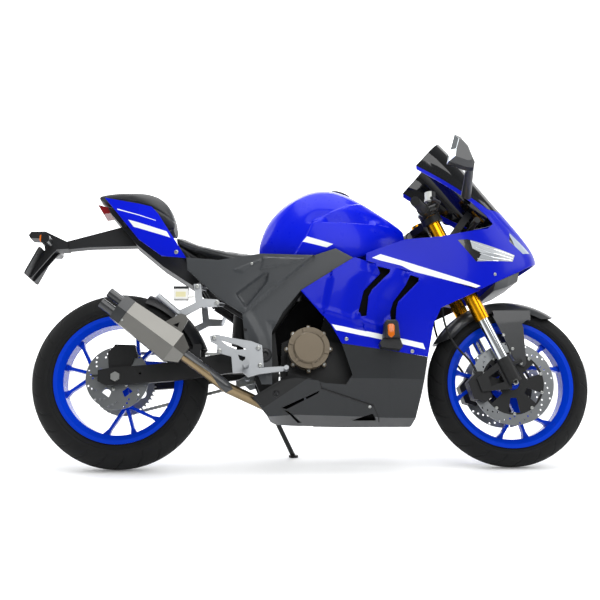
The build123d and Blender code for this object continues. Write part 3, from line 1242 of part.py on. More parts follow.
with BuildPart() as rear_caliper:
    with BuildSketch(Plane(origin=rear_axle + Vector(0, -rear_disc_offset, 0), z_dir=(0, -1, 0), x_dir=(1, 0, 0))):
        with BuildLine():
            Polyline((-30, 76), (-10, 118), (60, 116), (70, 70), close=True)
        make_face()
    extrude(amount=15, both=True)
    with Locations(disc_plane):
        Cylinder(rear_disc_radius + 4, disc_thickness + 4, mode=Mode.SUBTRACT)
    hanger = [(-24, -14), (-34, 90), (-8, 116), (56, 114), (64, 82), (24, -14)]
    extrude(outline(about(rear_axle, hanger), arm_inner - seat_gap - 7), amount=7)
    strut(rear_axle - Vector(0, arm_inner - seat_gap, 0), rear_axle - Vector(0, arm_inner - 7 - seat_gap, 0), 26)
    strut(rear_axle - Vector(0, 150, 0), rear_axle, axle_radius + seat_gap, Mode.SUBTRACT)
keep(rear_caliper.part, "rear_caliper")

# Frame sliders
slider_reach = 252.0
slider_head = [(924, 484), (932, 492), (962, 492), (970, 484), (976, 430), (920, 430)]
slider_base = [(922, 436), (974, 436), (986, 402), (978, 392), (912, 400), (906, 414)]
with BuildPart() as frame_sliders:
    extrude(outline(slider_head, 150), amount=slider_reach - 150)
    extrude(outline(slider_base, 150), amount=slider_reach - 168)
    chamfer(frame_sliders.faces().sort_by(Axis.Y)[0].edges(), 6)
    loft([fill_section(x, levels, -seat_gap) for x, levels in fairing_rows], ruled=True, mode=Mode.SUBTRACT)
    mirror(about=Plane.XZ)
keep(frame_sliders.part, "frame_sliders")

os.makedirs("parts", exist_ok=True)
parked = Location((0, 0, 0), (-lean, 0, 0))
leaned = {label: parked * piece for label, piece in pieces.items()}
whole = Compound(list(leaned.values())).bounding_box()
to_origin = Pos(-(whole.min.X + whole.max.X) / 2, -(whole.min.Y + whole.max.Y) / 2, -whole.min.Z)
for label, piece in leaned.items():
    placed = to_origin * piece
    placed.label = label
    export_step(placed, f"parts/{label}.step")
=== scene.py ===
"""Looks of a parked sport motorcycle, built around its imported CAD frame.

The upright bike is measured in millimetres: X forward from the rear axle, Y to the rider's left and Z up from
the ground. ParkedBike turns those measures into metres on the leaning bike.
"""

from __future__ import annotations

import json
import logging
import math
from collections.abc import Callable
from dataclasses import dataclass, field
from enum import Enum

import bmesh
import bpy
import numpy as np
from mathutils import Matrix, Vector
from mathutils.bvhtree import BVHTree
from mathutils.geometry import delaunay_2d_cdt

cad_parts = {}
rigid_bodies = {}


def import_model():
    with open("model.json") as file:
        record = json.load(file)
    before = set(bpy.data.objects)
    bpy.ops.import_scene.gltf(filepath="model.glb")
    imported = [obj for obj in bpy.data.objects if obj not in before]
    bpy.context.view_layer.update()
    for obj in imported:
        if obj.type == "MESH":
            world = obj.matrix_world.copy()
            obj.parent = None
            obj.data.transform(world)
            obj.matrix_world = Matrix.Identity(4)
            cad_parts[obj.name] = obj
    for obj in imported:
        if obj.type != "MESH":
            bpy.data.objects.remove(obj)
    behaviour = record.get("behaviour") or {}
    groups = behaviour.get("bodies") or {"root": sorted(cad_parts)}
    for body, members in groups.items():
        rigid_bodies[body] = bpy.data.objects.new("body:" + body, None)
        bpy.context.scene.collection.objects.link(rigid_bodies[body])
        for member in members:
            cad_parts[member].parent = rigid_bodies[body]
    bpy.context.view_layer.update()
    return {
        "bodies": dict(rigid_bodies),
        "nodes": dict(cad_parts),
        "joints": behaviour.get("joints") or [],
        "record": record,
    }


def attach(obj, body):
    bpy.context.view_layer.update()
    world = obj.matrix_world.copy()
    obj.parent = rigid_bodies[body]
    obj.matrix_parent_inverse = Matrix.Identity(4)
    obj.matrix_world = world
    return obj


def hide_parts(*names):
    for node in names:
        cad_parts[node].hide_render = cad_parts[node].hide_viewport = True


Mesh, Thing = bpy.types.Mesh, bpy.types.Object
Tree, Socket = bpy.types.NodeTree, bpy.types.NodeSocket

LOG = logging.getLogger("sport_bike")
# The bike's main measures, in millimetres
REAR_RADIUS = 314.0
FRONT_RADIUS = 293.0
WHEELBASE = 1400.0
# Lines that look for a surface start this far out beside the bike and this far up, in millimetres
FAR_OUT, FAR_UP = 600.0, 1400.0
# Points of a CAD mesh that lie closer than this, in metres, are one point
WELD = 1e-5
# Loose bits of a remesh with fewer points are crumbs, and points closer than this share of a face are merged
CRUMB_POINTS, CRUMPLED = 400, 0.3
# The scale of small shapes that are drawn in millimetres
MM = 0.001
# Sockets of a Mix node in its colour form: the share, the colour under, the colour over and the result
MIX_SHARE, MIX_UNDER, MIX_OVER, MIX_RESULT = 0, 6, 7, 2


class Side(Enum):
    """The rider's two sides, as the sign of Y."""

    RIGHT = -1
    LEFT = 1


def linear(hex_colour: str) -> tuple[float, float, float, float]:
    """Turn an sRGB hex colour into linear RGBA.

    Args:
        hex_colour: six hex digits with a leading hash.

    Returns:
        The linear colour with alpha 1.
    """
    channels = []
    for start in (1, 3, 5):
        value = int(hex_colour[start:start + 2], 16) / 255
        channels.append(value / 12.92 if value <= 0.04045 else ((value + 0.055) / 1.055) ** 2.4)
    return (*channels, 1.0)


def per_mm(size: float) -> float:
    """The texture scale, on coordinates in metres, whose features are size millimetres wide."""
    return 1000.0 / size


def add_node(tree: Tree, kind: str, settings: dict | None = None,
             inputs: dict | None = None) -> bpy.types.Node:
    """Add one node with its settings, socket values and links.

    Args:
        tree: the tree that takes the node.
        kind: Blender's name of the node type.
        settings: attributes of the node.
        inputs: socket names or numbers, each with a plain value or with an output socket to link.

    Returns:
        The new node.
    """
    node = tree.nodes.new(kind)
    for name, value in (settings or {}).items():
        setattr(node, name, value)
    for key, value in (inputs or {}).items():
        if isinstance(value, Socket):
            tree.links.new(value, node.inputs[key])
        else:
            node.inputs[key].default_value = value
    return node


@dataclass(frozen=True)
class ParkedBike:
    """The leaning bike's place: its rear axle and the directions of its own axes, in the row frame."""

    axle: Vector
    across: Vector

    @property
    def ahead(self) -> Vector:
        """The bike's forward direction."""
        return Vector((1.0, 0.0, 0.0))

    @property
    def up(self) -> Vector:
        """The bike's own upward direction."""
        return self.ahead.cross(self.across)

    @property
    def foot(self) -> Vector:
        """The foot of the rear tyre, in the bike's middle plane."""
        return self.axle - self.up * (REAR_RADIUS / 1000)

    def matrix(self) -> Matrix:
        """The map from upright millimetres to metres on the leaning bike."""
        turned = Matrix((self.ahead, self.across, self.up)).transposed()
        return Matrix.Translation(self.foot) @ turned.to_4x4() @ Matrix.Scale(MM, 4)

    def point(self, x: float, y: float, z: float) -> Vector:
        """A point of the upright bike, in metres on the leaning bike."""
        return self.matrix() @ Vector((x, y, z))

    def direction(self, x: float, y: float, z: float) -> Vector:
        """A direction of the upright bike, on the leaning bike."""
        return (self.ahead * x + self.across * y + self.up * z).normalized()


@dataclass(frozen=True)
class Patch:
    """A painted patch: a convex side-view outline of (x, z) points in upright millimetres."""

    colour: str
    corners: tuple[tuple[float, float], ...]


@dataclass(frozen=True)
class Finish:
    """A plain finish: one colour with a fine uneven surface.

    grain_mm is the width of the surface's unevenness and grain_height_mm its depth. Over mottle_mm the
    roughness drifts by the share mottle and the colour darkens by up to the share shade.
    """

    name: str
    colour: str
    roughness: float
    metallic: float = 0.0
    coat: float = 0.0
    specular: float = 0.5
    grain_mm: float = 2.0
    grain_height_mm: float = 0.02
    mottle: float = 0.08
    mottle_mm: float = 70.0
    shade: float = 0.12

    def build(self, bike: ParkedBike) -> bpy.types.Material:
        """Make the material.

        Args:
            bike: the leaning bike, for patterns that follow its own axes.

        Returns:
            The finished material.
        """
        material = bpy.data.materials.new(self.name)
        material.use_nodes = True
        tree = material.node_tree
        tree.nodes.clear()
        where = add_node(tree, "ShaderNodeTexCoord").outputs["Object"]
        bump = add_node(tree, "ShaderNodeBump", inputs={
            "Strength": 1.0, "Distance": self.grain_height_mm / 1000,
            "Height": self.relief(tree, where, bike)})
        shader = add_node(tree, "ShaderNodeBsdfPrincipled", inputs={
            "Metallic": self.metallic, "Coat Weight": self.coat, "Specular IOR Level": self.specular,
            "Base Color": self.tint(tree, where, bike), "Roughness": self.sheen(tree, where),
            "Normal": bump.outputs["Normal"], **self.extras()})
        add_node(tree, "ShaderNodeOutputMaterial", inputs={"Surface": shader.outputs["BSDF"]})
        return material

    def tint(self, tree: Tree, where: Socket, bike: ParkedBike) -> Socket:
        """The colour, a little darker in slow drifts of handling and dust."""
        drift = add_node(tree, "ShaderNodeTexNoise", inputs={
            "Vector": where, "Scale": per_mm(self.mottle_mm), "Detail": 4.0})
        base = linear(self.colour)
        dark = tuple(value * (1 - self.shade) for value in base[:3]) + (1.0,)
        ramp = add_node(tree, "ShaderNodeMix", {"data_type": "RGBA"}, {
            MIX_SHARE: drift.outputs["Fac"], MIX_UNDER: dark, MIX_OVER: base})
        return ramp.outputs[MIX_RESULT]

    def sheen(self, tree: Tree, where: Socket) -> Socket:
        """The roughness, drifting a little over the surface."""
        drift = add_node(tree, "ShaderNodeTexNoise", inputs={
            "Vector": where, "Scale": per_mm(self.mottle_mm / 2), "Detail": 5.0})
        spread = self.roughness * self.mottle
        ranged = add_node(tree, "ShaderNodeMapRange", inputs={
            "Value": drift.outputs["Fac"],
            "To Min": self.roughness - spread, "To Max": self.roughness + spread})
        return ranged.outputs["Result"]

    def relief(self, tree: Tree, where: Socket, bike: ParkedBike) -> Socket:
        """The height of the fine unevenness."""
        noise = add_node(tree, "ShaderNodeTexNoise", inputs={
            "Vector": where, "Scale": per_mm(self.grain_mm), "Detail": 2.0})
        return noise.outputs["Fac"]

    def extras(self) -> dict:
        """Further sockets of the shader."""
        return {}


@dataclass(frozen=True)
class PaintedPanel(Finish):
    """Base coat under clear lacquer, with patches laid on it: stripes and windows, and on the belly and the
    lamps painted reflections; deep colour and a sharp second highlight.
    """

    patches: tuple[Patch, ...] = ()
    edge_mm: float = 0.6

    def tint(self, tree: Tree, where: Socket, bike: ParkedBike) -> Socket:
        """The base coat with its patches laid on in order, painted reflections among them."""
        colour = super().tint(tree, where, bike)
        for patch in self.patches:
            mask = None
            middle = Vector((sum(x for x, _ in patch.corners), sum(z for _, z in patch.corners)))
            middle /= len(patch.corners)
            for (x0, z0), (x1, z1) in zip(patch.corners, patch.corners[1:] + patch.corners[:1]):
                inward = Vector((z0 - z1, x1 - x0)).normalized()
                if inward.dot(middle - Vector((x0, z0))) < 0:
                    inward = -inward
                normal = bike.ahead * inward.x + bike.up * inward.y
                offset = normal.dot(bike.foot) + (inward.x * x0 + inward.y * z0) / 1000
                along = add_node(tree, "ShaderNodeVectorMath", {"operation": "DOT_PRODUCT"}, {
                    0: where, 1: tuple(normal)})
                inside = add_node(tree, "ShaderNodeMapRange", inputs={
                    "Value": along.outputs["Value"], "From Min": offset - self.edge_mm / 2000,
                    "From Max": offset + self.edge_mm / 2000})
                if mask is None:
                    mask = inside.outputs["Result"]
                else:
                    mask = add_node(tree, "ShaderNodeMath", {"operation": "MULTIPLY"}, {
                        0: mask, 1: inside.outputs["Result"]}).outputs[0]
            mixed = add_node(tree, "ShaderNodeMix", {"data_type": "RGBA"}, {
                MIX_SHARE: mask, MIX_UNDER: colour, MIX_OVER: linear(patch.colour)})
            colour = mixed.outputs[MIX_RESULT]
        return colour

    def extras(self) -> dict:
        """The lacquer's gloss."""
        return {"Coat Roughness": 0.03}


@dataclass(frozen=True)
class MouldedPlastic(Finish):
    """Moulded ABS: the mould's fine leather-like grain breaks up the highlights."""

    def relief(self, tree: Tree, where: Socket, bike: ParkedBike) -> Socket:
        """The mould's grain, drawn coarser than the real 0.4 mm so that it shows."""
        cells = add_node(tree, "ShaderNodeTexVoronoi", {"feature": "SMOOTH_F1"}, {
            "Vector": where, "Scale": per_mm(self.grain_mm)})
        return cells.outputs["Distance"]


@dataclass(frozen=True)
class BrushedMetal(Finish):
    """Turned or brushed metal: fine lines along one of the bike's own directions stretch the highlights."""

    lines: tuple[float, float, float] = (1.0, 0.0, 0.0)
    stretch: float = 30.0

    def relief(self, tree: Tree, where: Socket, bike: ParkedBike) -> Socket:
        """Fine lines: noise squeezed across the brushing."""
        run = bike.direction(*self.lines)
        along = add_node(tree, "ShaderNodeVectorMath", {"operation": "DOT_PRODUCT"}, {
            0: where, 1: tuple(run)})
        shift = add_node(tree, "ShaderNodeVectorMath", {"operation": "SCALE"}, {
            0: tuple(run), "Scale": along.outputs["Value"]})
        squeezed = add_node(tree, "ShaderNodeVectorMath", {"operation": "SCALE"}, {
            0: shift.outputs["Vector"], "Scale": 1 - 1 / self.stretch})
        fine = add_node(tree, "ShaderNodeVectorMath", {"operation": "SUBTRACT"}, {
            0: where, 1: squeezed.outputs["Vector"]})
        noise = add_node(tree, "ShaderNodeTexNoise", inputs={
            "Vector": fine.outputs["Vector"], "Scale": per_mm(self.grain_mm), "Detail": 3.0})
        return noise.outputs["Fac"]


@dataclass(frozen=True)
class ClearPlastic(Finish):
    """Moulded polycarbonate or acrylic that light goes through."""

    through: float = 1.0

    def extras(self) -> dict:
        """The share of light that passes."""
        return {"Transmission Weight": self.through}


# Painted patches and panel outlines hold side-view (x, z) points in upright millimetres
WHITE = "#f1f4f3"
COWL_STRIPE = (
    Patch(WHITE, ((890, 719), (920, 732), (1000, 707), (992, 691), (919, 709))),
    Patch(WHITE, ((985, 712), (1273, 623), (1231, 604), (1028, 672), (990, 692))),
)
FAIRING_STRIPE = (Patch(WHITE, ((745, 483), (760, 463), (1074, 402), (1066, 422))),)
TANK_STRIPE = (Patch(WHITE, ((665, 808), (649, 790), (735, 767), (758, 779))),)
TAIL_STRIPE = (
    Patch(WHITE, ((22, 887), (44, 858), (178, 811), (165, 834))),
    Patch(WHITE, ((-22, 934), (-20, 929), (124, 877), (124, 879))),
)
# A near-black wedge on the belly's upper facet: a painted dark reflection
BELLY_DARK_REFLECTION = (Patch("#060708", ((455, 250), (473, 235), (500, 196), (664, 300), (610, 330))),)
RESERVOIR_PATCH = (Patch("#c9cbc6", ((1066, 934), (1112, 934), (1112, 975), (1066, 975))),)
# One blue paint in two copies: BLUE is darkened to paint the shade on the cowl and the fairing, and the other
# copy is lightened to paint the light on the tank and the tail
BLUE = "#0014b6"
PAINTED_LIGHT_BLUE = "#0117cf"

FAIRING_OUTLINE = (
    (640, 602), (742, 483), (780, 418), (1084, 377), (1105, 496), (1112, 505), (1130, 545), (1186, 571),
    (1275, 611.4), (888, 702.4), (829, 721.4),
)
LINER_OUTLINE = ((820, 512), (846, 484), (990, 462), (1076, 640), (1062, 656), (960, 684), (902, 694))
BELLY_LINING = ((555, 172), (640, 156), (920, 158), (905, 196), (716, 268), (560, 214))
COVER_OUTLINE = (
    (238, 734), (353, 722), (500, 742), (687, 732), (764, 757), (827, 721), (640, 606), (578, 530),
    (540, 462), (541, 280), (505, 280), (447, 425), (437, 526), (350, 586), (242, 690),
)
COVER_CREASE = ((676, 722), (600, 660), (528, 600), (449, 534))
COVER_POCKET = ((413, 599), (511, 673), (531, 673), (526, 638), (449, 541), (418, 588))
SEAT_SIDE_WEDGE = ((506, 731), (664, 722), (609, 699), (497, 682), (506, 715))
SEAT_SIDE_PLATE = ((398, 683), (497, 723), (502, 716), (439, 672))
PIVOT_FACET = ((516, 505), (560, 497), (545, 445), (536, 420))
# Pale patches on the dark lamp bowls: painted reflections standing for the chrome reflectors and the clear
# front lens
LAMP_PAINTED_REFLECTIONS = (
    Patch("#b4b8bb", ((1240, 802), (1420, 752), (1410, 738), (1285, 742), (1250, 758))),
    Patch("#9da1a4", ((1285, 744), (1414, 744), (1402, 700), (1312, 695), (1262, 708))),
    Patch("#a9b6c6", ((1400, 842), (1424, 840), (1496, 770), (1470, 752), (1434, 754))),
)
INDICATOR_LENS = (Patch("#d86a0a", ((-292, 790), (-292, 834), (-282, 834), (-282, 790))),)
RESERVOIR_MARKS = (
    Patch("#141516", ((198, 604), (258, 604), (258, 616), (198, 616))),
    Patch("#d8d2a6", ((211, 576), (245, 576), (245, 594), (211, 594))),
)
VENTS = (
    ((906, 688), (952, 676), (950, 664), (886, 602), (874, 580), (866, 512), (848, 510), (840, 530),
     (859, 602), (918, 664)),
    ((1022, 656), (1052, 647), (1050, 633), (978, 562), (971, 540), (967, 488), (952, 488), (951, 531),
     (961, 562), (1006, 622)),
)

# Sprayed colour under a thin clear coat, smooth but for a faint orange peel
LACQUER = {"coat": 0.1, "specular": 0.12, "grain_mm": 9.0, "grain_height_mm": 0.004, "shade": 0.06}
FINISHES = {
    finish.name: finish
    for finish in (
        # Deep blue, darkened as painted shade on the cowl and the fairing, with soft highlights and crisp
        # white stripes
        PaintedPanel("lacquered_abs_blue_cowl", BLUE, 0.3, patches=COWL_STRIPE, **LACQUER),
        PaintedPanel("lacquered_abs_blue_fairing", BLUE, 0.3, patches=FAIRING_STRIPE, **LACQUER),
        # The same blue a tone lighter, as painted light on the tank and the tail
        PaintedPanel("lacquered_steel_blue", PAINTED_LIGHT_BLUE, 0.28, patches=TANK_STRIPE, **LACQUER),
        PaintedPanel("lacquered_abs_blue_tail", PAINTED_LIGHT_BLUE, 0.3, patches=TAIL_STRIPE, **LACQUER),
        # Enamel on the cast rims shines harder and shows the casting's slight waves
        PaintedPanel("enamelled_alloy_blue", "#0338c4", 0.24, coat=0.1, specular=0.12, grain_mm=6.0,
                     grain_height_mm=0.01, shade=0.08),
        # Satin charcoal with wide, soft highlights and one near-black wedge, a painted dark reflection
        PaintedPanel("satin_lacquered_abs_belly", "#232527", 0.36, coat=0.08, specular=0.3, grain_mm=8.0,
                     grain_height_mm=0.006, patches=BELLY_DARK_REFLECTION),
        # Dull black metal with a fine tooth, and the brake fluid pot's pale window
        PaintedPanel("anodised_alloy_controls", "#121314", 0.42, grain_mm=1.6, grain_height_mm=0.03,
                     patches=RESERVOIR_PATCH),
        # Moulded grain scatters the highlights of bare plastic
        MouldedPlastic("moulded_abs_black", "#18191b", 0.46, specular=0.35, grain_mm=2.2,
                       grain_height_mm=0.05),
        MouldedPlastic("moulded_abs_grey", "#34373a", 0.42, grain_mm=2.2, grain_height_mm=0.04),
        # Near-black matt sheets: the vent liners' own black, and added linings and plates that paint the
        # shade behind the openings, so openings read as deep black
        Finish("black_liner_and_painted_shade", "#060607", 0.85, specular=0.12, grain_mm=1.5, grain_height_mm=0.05),
        # Smoother than the bare plastic, with a clear second highlight
        Finish("satin_lacquered_abs_black", "#2a2c2e", 0.3, coat=0.35, grain_mm=8.0, grain_height_mm=0.006),
        # Baked powder is evenly dull and faintly pebbled
        Finish("powder_coated_alloy_black", "#101112", 0.5, specular=0.35, grain_mm=1.6,
               grain_height_mm=0.03),
        # Dusty, almost matt rubber
        Finish("natural_rubber_tyre", "#0e0f10", 0.78, specular=0.3, grain_mm=1.8, grain_height_mm=0.06,
               shade=0.3),
        # Soft black with a coarser tooth than the tyres
        Finish("moulded_grip_rubber", "#121314", 0.7, grain_mm=2.5, grain_height_mm=0.15),
        # Grinding marks drag the disc's highlights into streaks
        BrushedMetal("ground_brake_steel", "#8e9193", 0.34, metallic=1.0, grain_mm=0.8, grain_height_mm=0.01),
        # Warm gold whose fine turning marks run round the tubes
        BrushedMetal("anodised_aluminium_gold", "#f0a818", 0.24, metallic=1.0, grain_mm=0.9,
                     grain_height_mm=0.006, lines=(0.0, 1.0, 0.0)),
        # A cold mirror on the sliding tubes
        Finish("hard_chromed_steel", "#dfe3e6", 0.06, metallic=1.0, grain_height_mm=0.002),
        # Silvered float glass gives a clean, bluish picture of its surroundings
        Finish("silvered_glass", "#d3dade", 0.03, metallic=1.0, grain_mm=30.0, grain_height_mm=0.001),
        # Pale, grainy metal that spreads its highlights
        Finish("cast_aluminium_silver", "#b4b7ba", 0.42, metallic=1.0, grain_mm=1.4, grain_height_mm=0.03),
        # A greyish plating that is bright on small heads and edges
        Finish("zinc_plated_steel", "#b7b9b6", 0.32, metallic=1.0, grain_mm=2.0, grain_height_mm=0.01),
        # Metallic paint: brown in the shade and warm where the light strikes
        Finish("bronze_painted_alloy", "#6f6453", 0.36, metallic=0.35, grain_mm=1.2, grain_height_mm=0.03),
        # Brushing along the can draws the highlights out lengthwise
        BrushedMetal("brushed_stainless_steel", "#777672", 0.34, metallic=1.0, grain_mm=0.9,
                     grain_height_mm=0.01, lines=(-0.8, 0.0, 0.6)),
        # Steel that heat has turned to uneven straw and brown
        Finish("heat_tinted_steel", "#9a8768", 0.33, metallic=1.0, grain_mm=3.0, grain_height_mm=0.01,
               mottle=0.3, shade=0.3),
        # Nearly black from outside, with a little light through it
        ClearPlastic("smoked_polycarbonate", "#0d0f12", 0.06, through=0.12, grain_height_mm=0.001),
        # Dark bowls under one glossy coat, with pale patches that paint the reflections of the chrome
        # reflectors and the clear front lens
        PaintedPanel("lamp_bowls_painted_reflections", "#0d0e10", 0.14, coat=0.8, grain_mm=4.0,
                     grain_height_mm=0.02, patches=LAMP_PAINTED_REFLECTIONS),
        # Smoked stalks with an orange window
        PaintedPanel("smoked_acrylic_indicator", "#191a1c", 0.24, grain_mm=2.0, grain_height_mm=0.02,
                     patches=INDICATOR_LENS),
        # Tinted lenses that let a little light through them
        ClearPlastic("red_acrylic_lens", "#8a0610", 0.08, through=0.3, grain_height_mm=0.01),
        ClearPlastic("amber_acrylic_lens", "#f07808", 0.1, through=0.3, grain_height_mm=0.01),
        # A milky pot with a black cap line and the fluid's yellowish level
        PaintedPanel("translucent_polyethylene", "#e8e8e4", 0.3, grain_height_mm=0.02,
                     patches=RESERVOIR_MARKS),
        # Embossed cover with a dull, leathery shine, and the thread that sews it
        Finish("embossed_vinyl_black", "#2b2d2f", 0.46, grain_mm=2.4, grain_height_mm=0.12),
        Finish("twisted_nylon_thread", "#3c3e40", 0.6, grain_mm=0.8, grain_height_mm=0.1),
    )
}

NODE_FINISHES = {
    "natural_rubber_tyre": ("front_tyre", "rear_tyre"),
    "enamelled_alloy_blue": ("front_rim", "rear_rim"),
    "ground_brake_steel": ("front_discs", "rear_disc"),
    "anodised_alloy_controls": ("hand_controls",),
    "powder_coated_alloy_black": (
        "front_disc_carriers", "front_calipers", "rear_caliper", "frame", "swingarm", "engine", "yokes",
        "clip_ons", "fork_feet", "rear_shock", "side_stand", "radiator", "instrument_stay"),
    "zinc_plated_steel": ("front_axle", "rear_axle", "chain", "rear_sprocket"),
    "heat_tinted_steel": ("exhaust_pipe",),
    "anodised_aluminium_gold": ("fork_tubes",),
    "hard_chromed_steel": ("fork_legs",),
    "cast_aluminium_silver": ("rearsets", "pillion_hangers", "fuel_cap"),
    "moulded_grip_rubber": ("grips", "front_brake_lines"),
    "lacquered_abs_blue_cowl": ("upper_cowl",),
    "lacquered_abs_blue_fairing": ("side_fairings",),
    "lacquered_abs_blue_tail": ("tail_panels",),
    "lacquered_steel_blue": ("fuel_tank",),
    "smoked_polycarbonate": ("windscreen",),
    "lamp_bowls_painted_reflections": ("headlights",),
    "red_acrylic_lens": ("tail_light",),
    "smoked_acrylic_indicator": ("rear_indicators",),
    "embossed_vinyl_black": ("rider_seat", "pillion_seat"),
    "bronze_painted_alloy": ("engine_covers",),
    "brushed_stainless_steel": ("silencer",),
    "translucent_polyethylene": ("rear_reservoir",),
    "satin_lacquered_abs_belly": ("belly_pan",),
    "satin_lacquered_abs_black": ("front_mudguard", "mirrors", "silencer_cap", "heat_shield"),
    "moulded_abs_grey": ("frame_covers", "nose_panel"),
    "moulded_abs_black": ("undertray", "plate_holder", "rear_hugger", "frame_sliders", "vent_liners"),
}


def shaded(mesh: Mesh, sharp_deg: float) -> Mesh:
    """The mesh, shaded smooth apart from edges that turn by more than sharp_deg."""
    mesh.shade_smooth()
    mesh.set_sharp_from_angle(angle=math.radians(sharp_deg))
    return mesh


def add_smoothing(carrier: Thing, rounds: int) -> None:
    """Add a modifier that evens out an object's points in some rounds."""
    soft = carrier.modifiers.new("soft", "SMOOTH")
    soft.factor, soft.iterations = 0.5, rounds


def unload(work: bmesh.types.BMesh, mesh: Mesh) -> Mesh:
    """Write a working copy into a mesh and let the copy go."""
    work.to_mesh(mesh)
    work.free()
    return mesh


def places(mesh: Mesh) -> np.ndarray:
    """The mesh's points, a row for each."""
    return np.array([tuple(vertex.co) for vertex in mesh.vertices])


def facings(mesh: Mesh) -> np.ndarray:
    """The outward normals at the mesh's points, a row for each."""
    return np.array([tuple(vertex.normal) for vertex in mesh.vertices])


def search_tree(mesh: Mesh) -> BVHTree:
    """A search tree over the mesh's faces."""
    return BVHTree.FromPolygons([v.co for v in mesh.vertices], [p.vertices for p in mesh.polygons])


@dataclass
class Workshop:
    """The loaded frame, the leaning bike's axes, the materials and the skins that stand for CAD nodes."""

    frame: dict
    bike: ParkedBike
    materials: dict[str, bpy.types.Material] = field(default_factory=dict)
    skins: dict[str, Mesh] = field(default_factory=dict)

    def material(self, name: str) -> bpy.types.Material:
        """The named finish, built at its first use."""
        if name not in self.materials:
            self.materials[name] = FINISHES[name].build(self.bike)
        return self.materials[name]

    def dress_nodes(self) -> None:
        """Give every CAD node its finish."""
        for name, nodes in NODE_FINISHES.items():
            for node in nodes:
                mesh = self.frame["nodes"][node].data
                mesh.materials.clear()
                mesh.materials.append(self.material(name))
                LOG.info("node %s: %s", node, name)

    def add_piece(self, name: str, mesh: Mesh, finish: str, body: str) -> Thing:
        """Put a mesh in the scene as a piece that rides on a body.

        Args:
            name: the piece's name.
            mesh: its mesh, in metres on the leaning bike.
            finish: the name of its finish, or nothing where the mesh has its own.
            body: the CAD body that it rides on.

        Returns:
            The piece.
        """
        piece = bpy.data.objects.new(name, mesh)
        bpy.context.scene.collection.objects.link(piece)
        if finish:
            mesh.materials.clear()
            mesh.materials.append(self.material(finish))
        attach(piece, body)
        LOG.info("piece %s on %s", name, body)
        return piece

    def settled(self, mesh: Mesh, setup: Callable[[Thing], None]) -> Mesh:
        """Run a mesh through modifiers.

        Args:
            mesh: the mesh to start from, which is removed.
            setup: adds the modifiers to an object of that mesh.

        Returns:
            The finished mesh.
        """
        carrier = bpy.data.objects.new("carrier", mesh)
        bpy.context.scene.collection.objects.link(carrier)
        setup(carrier)
        depsgraph = bpy.context.evaluated_depsgraph_get()
        result = bpy.data.meshes.new_from_object(carrier.evaluated_get(depsgraph))
        bpy.data.objects.remove(carrier)
        bpy.data.meshes.remove(mesh)
        return result

    def rounded(self, mesh: Mesh, width_mm: float) -> Mesh:
        """The mesh with its sharp edges rounded."""
        def setup(carrier: Thing) -> None:
            """Add the edge rounding."""
            bevel = carrier.modifiers.new("edges", "BEVEL")
            bevel.width = width_mm / 1000
            bevel.segments = 2
            bevel.limit_method = "ANGLE"
            bevel.angle_limit = math.radians(50)
        return shaded(self.settled(mesh, setup), sharp_deg=38)

    def subdivided(self, mesh: Mesh) -> Mesh:
        """The mesh after one smooth subdivision."""
        def setup(carrier: Thing) -> None:
            """Add the subdivision."""
            finer = carrier.modifiers.new("finer", "SUBSURF")
            finer.levels = finer.render_levels = 1
        return self.settled(mesh, setup)

    def welded(self, node: str) -> bmesh.types.BMesh:
        """A working copy of a CAD node with its doubled points merged."""
        work = bmesh.new()
        work.from_mesh(self.frame["nodes"][node].data)
        bmesh.ops.remove_doubles(work, verts=work.verts, dist=WELD)
        return work

    def remeshed(self, node: str, voxel_mm: float, grow_mm: float = 0.0) -> Mesh:
        """An even, closed copy of a CAD node.

        Args:
            node: the node's name.
            voxel_mm: the new faces' size.
            grow_mm: how far the surface moves outwards.

        Returns:
            The copy, in metres.
        """
        def setup(carrier: Thing) -> None:
            """Add the remesh and its smoothing."""
            even = carrier.modifiers.new("even", "REMESH")
            even.mode = "VOXEL"
            even.voxel_size = voxel_mm / 1000
            add_smoothing(carrier, rounds=4)
        result = self.settled(unload(self.welded(node), bpy.data.meshes.new(node + "_copy")), setup)
        tree = self.surface(node)
        for vertex in result.vertices:
            vertex.co = tree.find_nearest(vertex.co)[0]
        # The snap to the CAD surface leaves the points uneven
        result = self.settled(result, lambda carrier: add_smoothing(carrier, rounds=22))
        self.drop_crumbs(result, voxel_mm)
        if grow_mm:
            place = np.array([tuple(v.co + v.normal * (grow_mm / 1000)) for v in result.vertices])
            result.vertices.foreach_set("co", place.ravel())
        return result

    def drop_crumbs(self, mesh: Mesh, voxel_mm: float) -> None:
        """Merge crumpled faces and remove the small loose bits that a remesh can leave.

        Args:
            mesh: the remeshed copy, changed in place.
            voxel_mm: the size of its faces.
        """
        work = bmesh.new()
        work.from_mesh(mesh)
        bmesh.ops.remove_doubles(work, verts=work.verts, dist=voxel_mm * CRUMPLED / 1000)
        crumbs, seen = [], set()
        for seed in work.verts:
            if seed in seen:
                continue
            seen.add(seed)
            island, queue = [], [seed]
            while queue:
                vertex = queue.pop()
                island.append(vertex)
                for edge in vertex.link_edges:
                    other = edge.other_vert(vertex)
                    if other not in seen:
                        seen.add(other)
                        queue.append(other)
            if len(island) < CRUMB_POINTS:
                crumbs += island
        LOG.info("%d loose points removed", len(crumbs))
        bmesh.ops.delete(work, geom=crumbs, context="VERTS")
        unload(work, mesh)

    def grown(self, mesh: Mesh, tree: Tree, given: dict) -> Mesh:
        """Run a mesh through a geometry node tree.

        Args:
            mesh: the mesh to start from, which is removed.
            tree: the tree.
            given: the tree's inputs by name.

        Returns:
            The grown mesh.
        """
        def setup(carrier: Thing) -> None:
            """Add the tree with its inputs."""
            grow = carrier.modifiers.new("grow", "NODES")
            grow.node_group = tree
            for item in tree.interface.items_tree:
                if item.in_out == "INPUT" and item.name in given:
                    grow[item.identifier] = given[item.name]
        return shaded(self.settled(mesh, setup), sharp_deg=40)

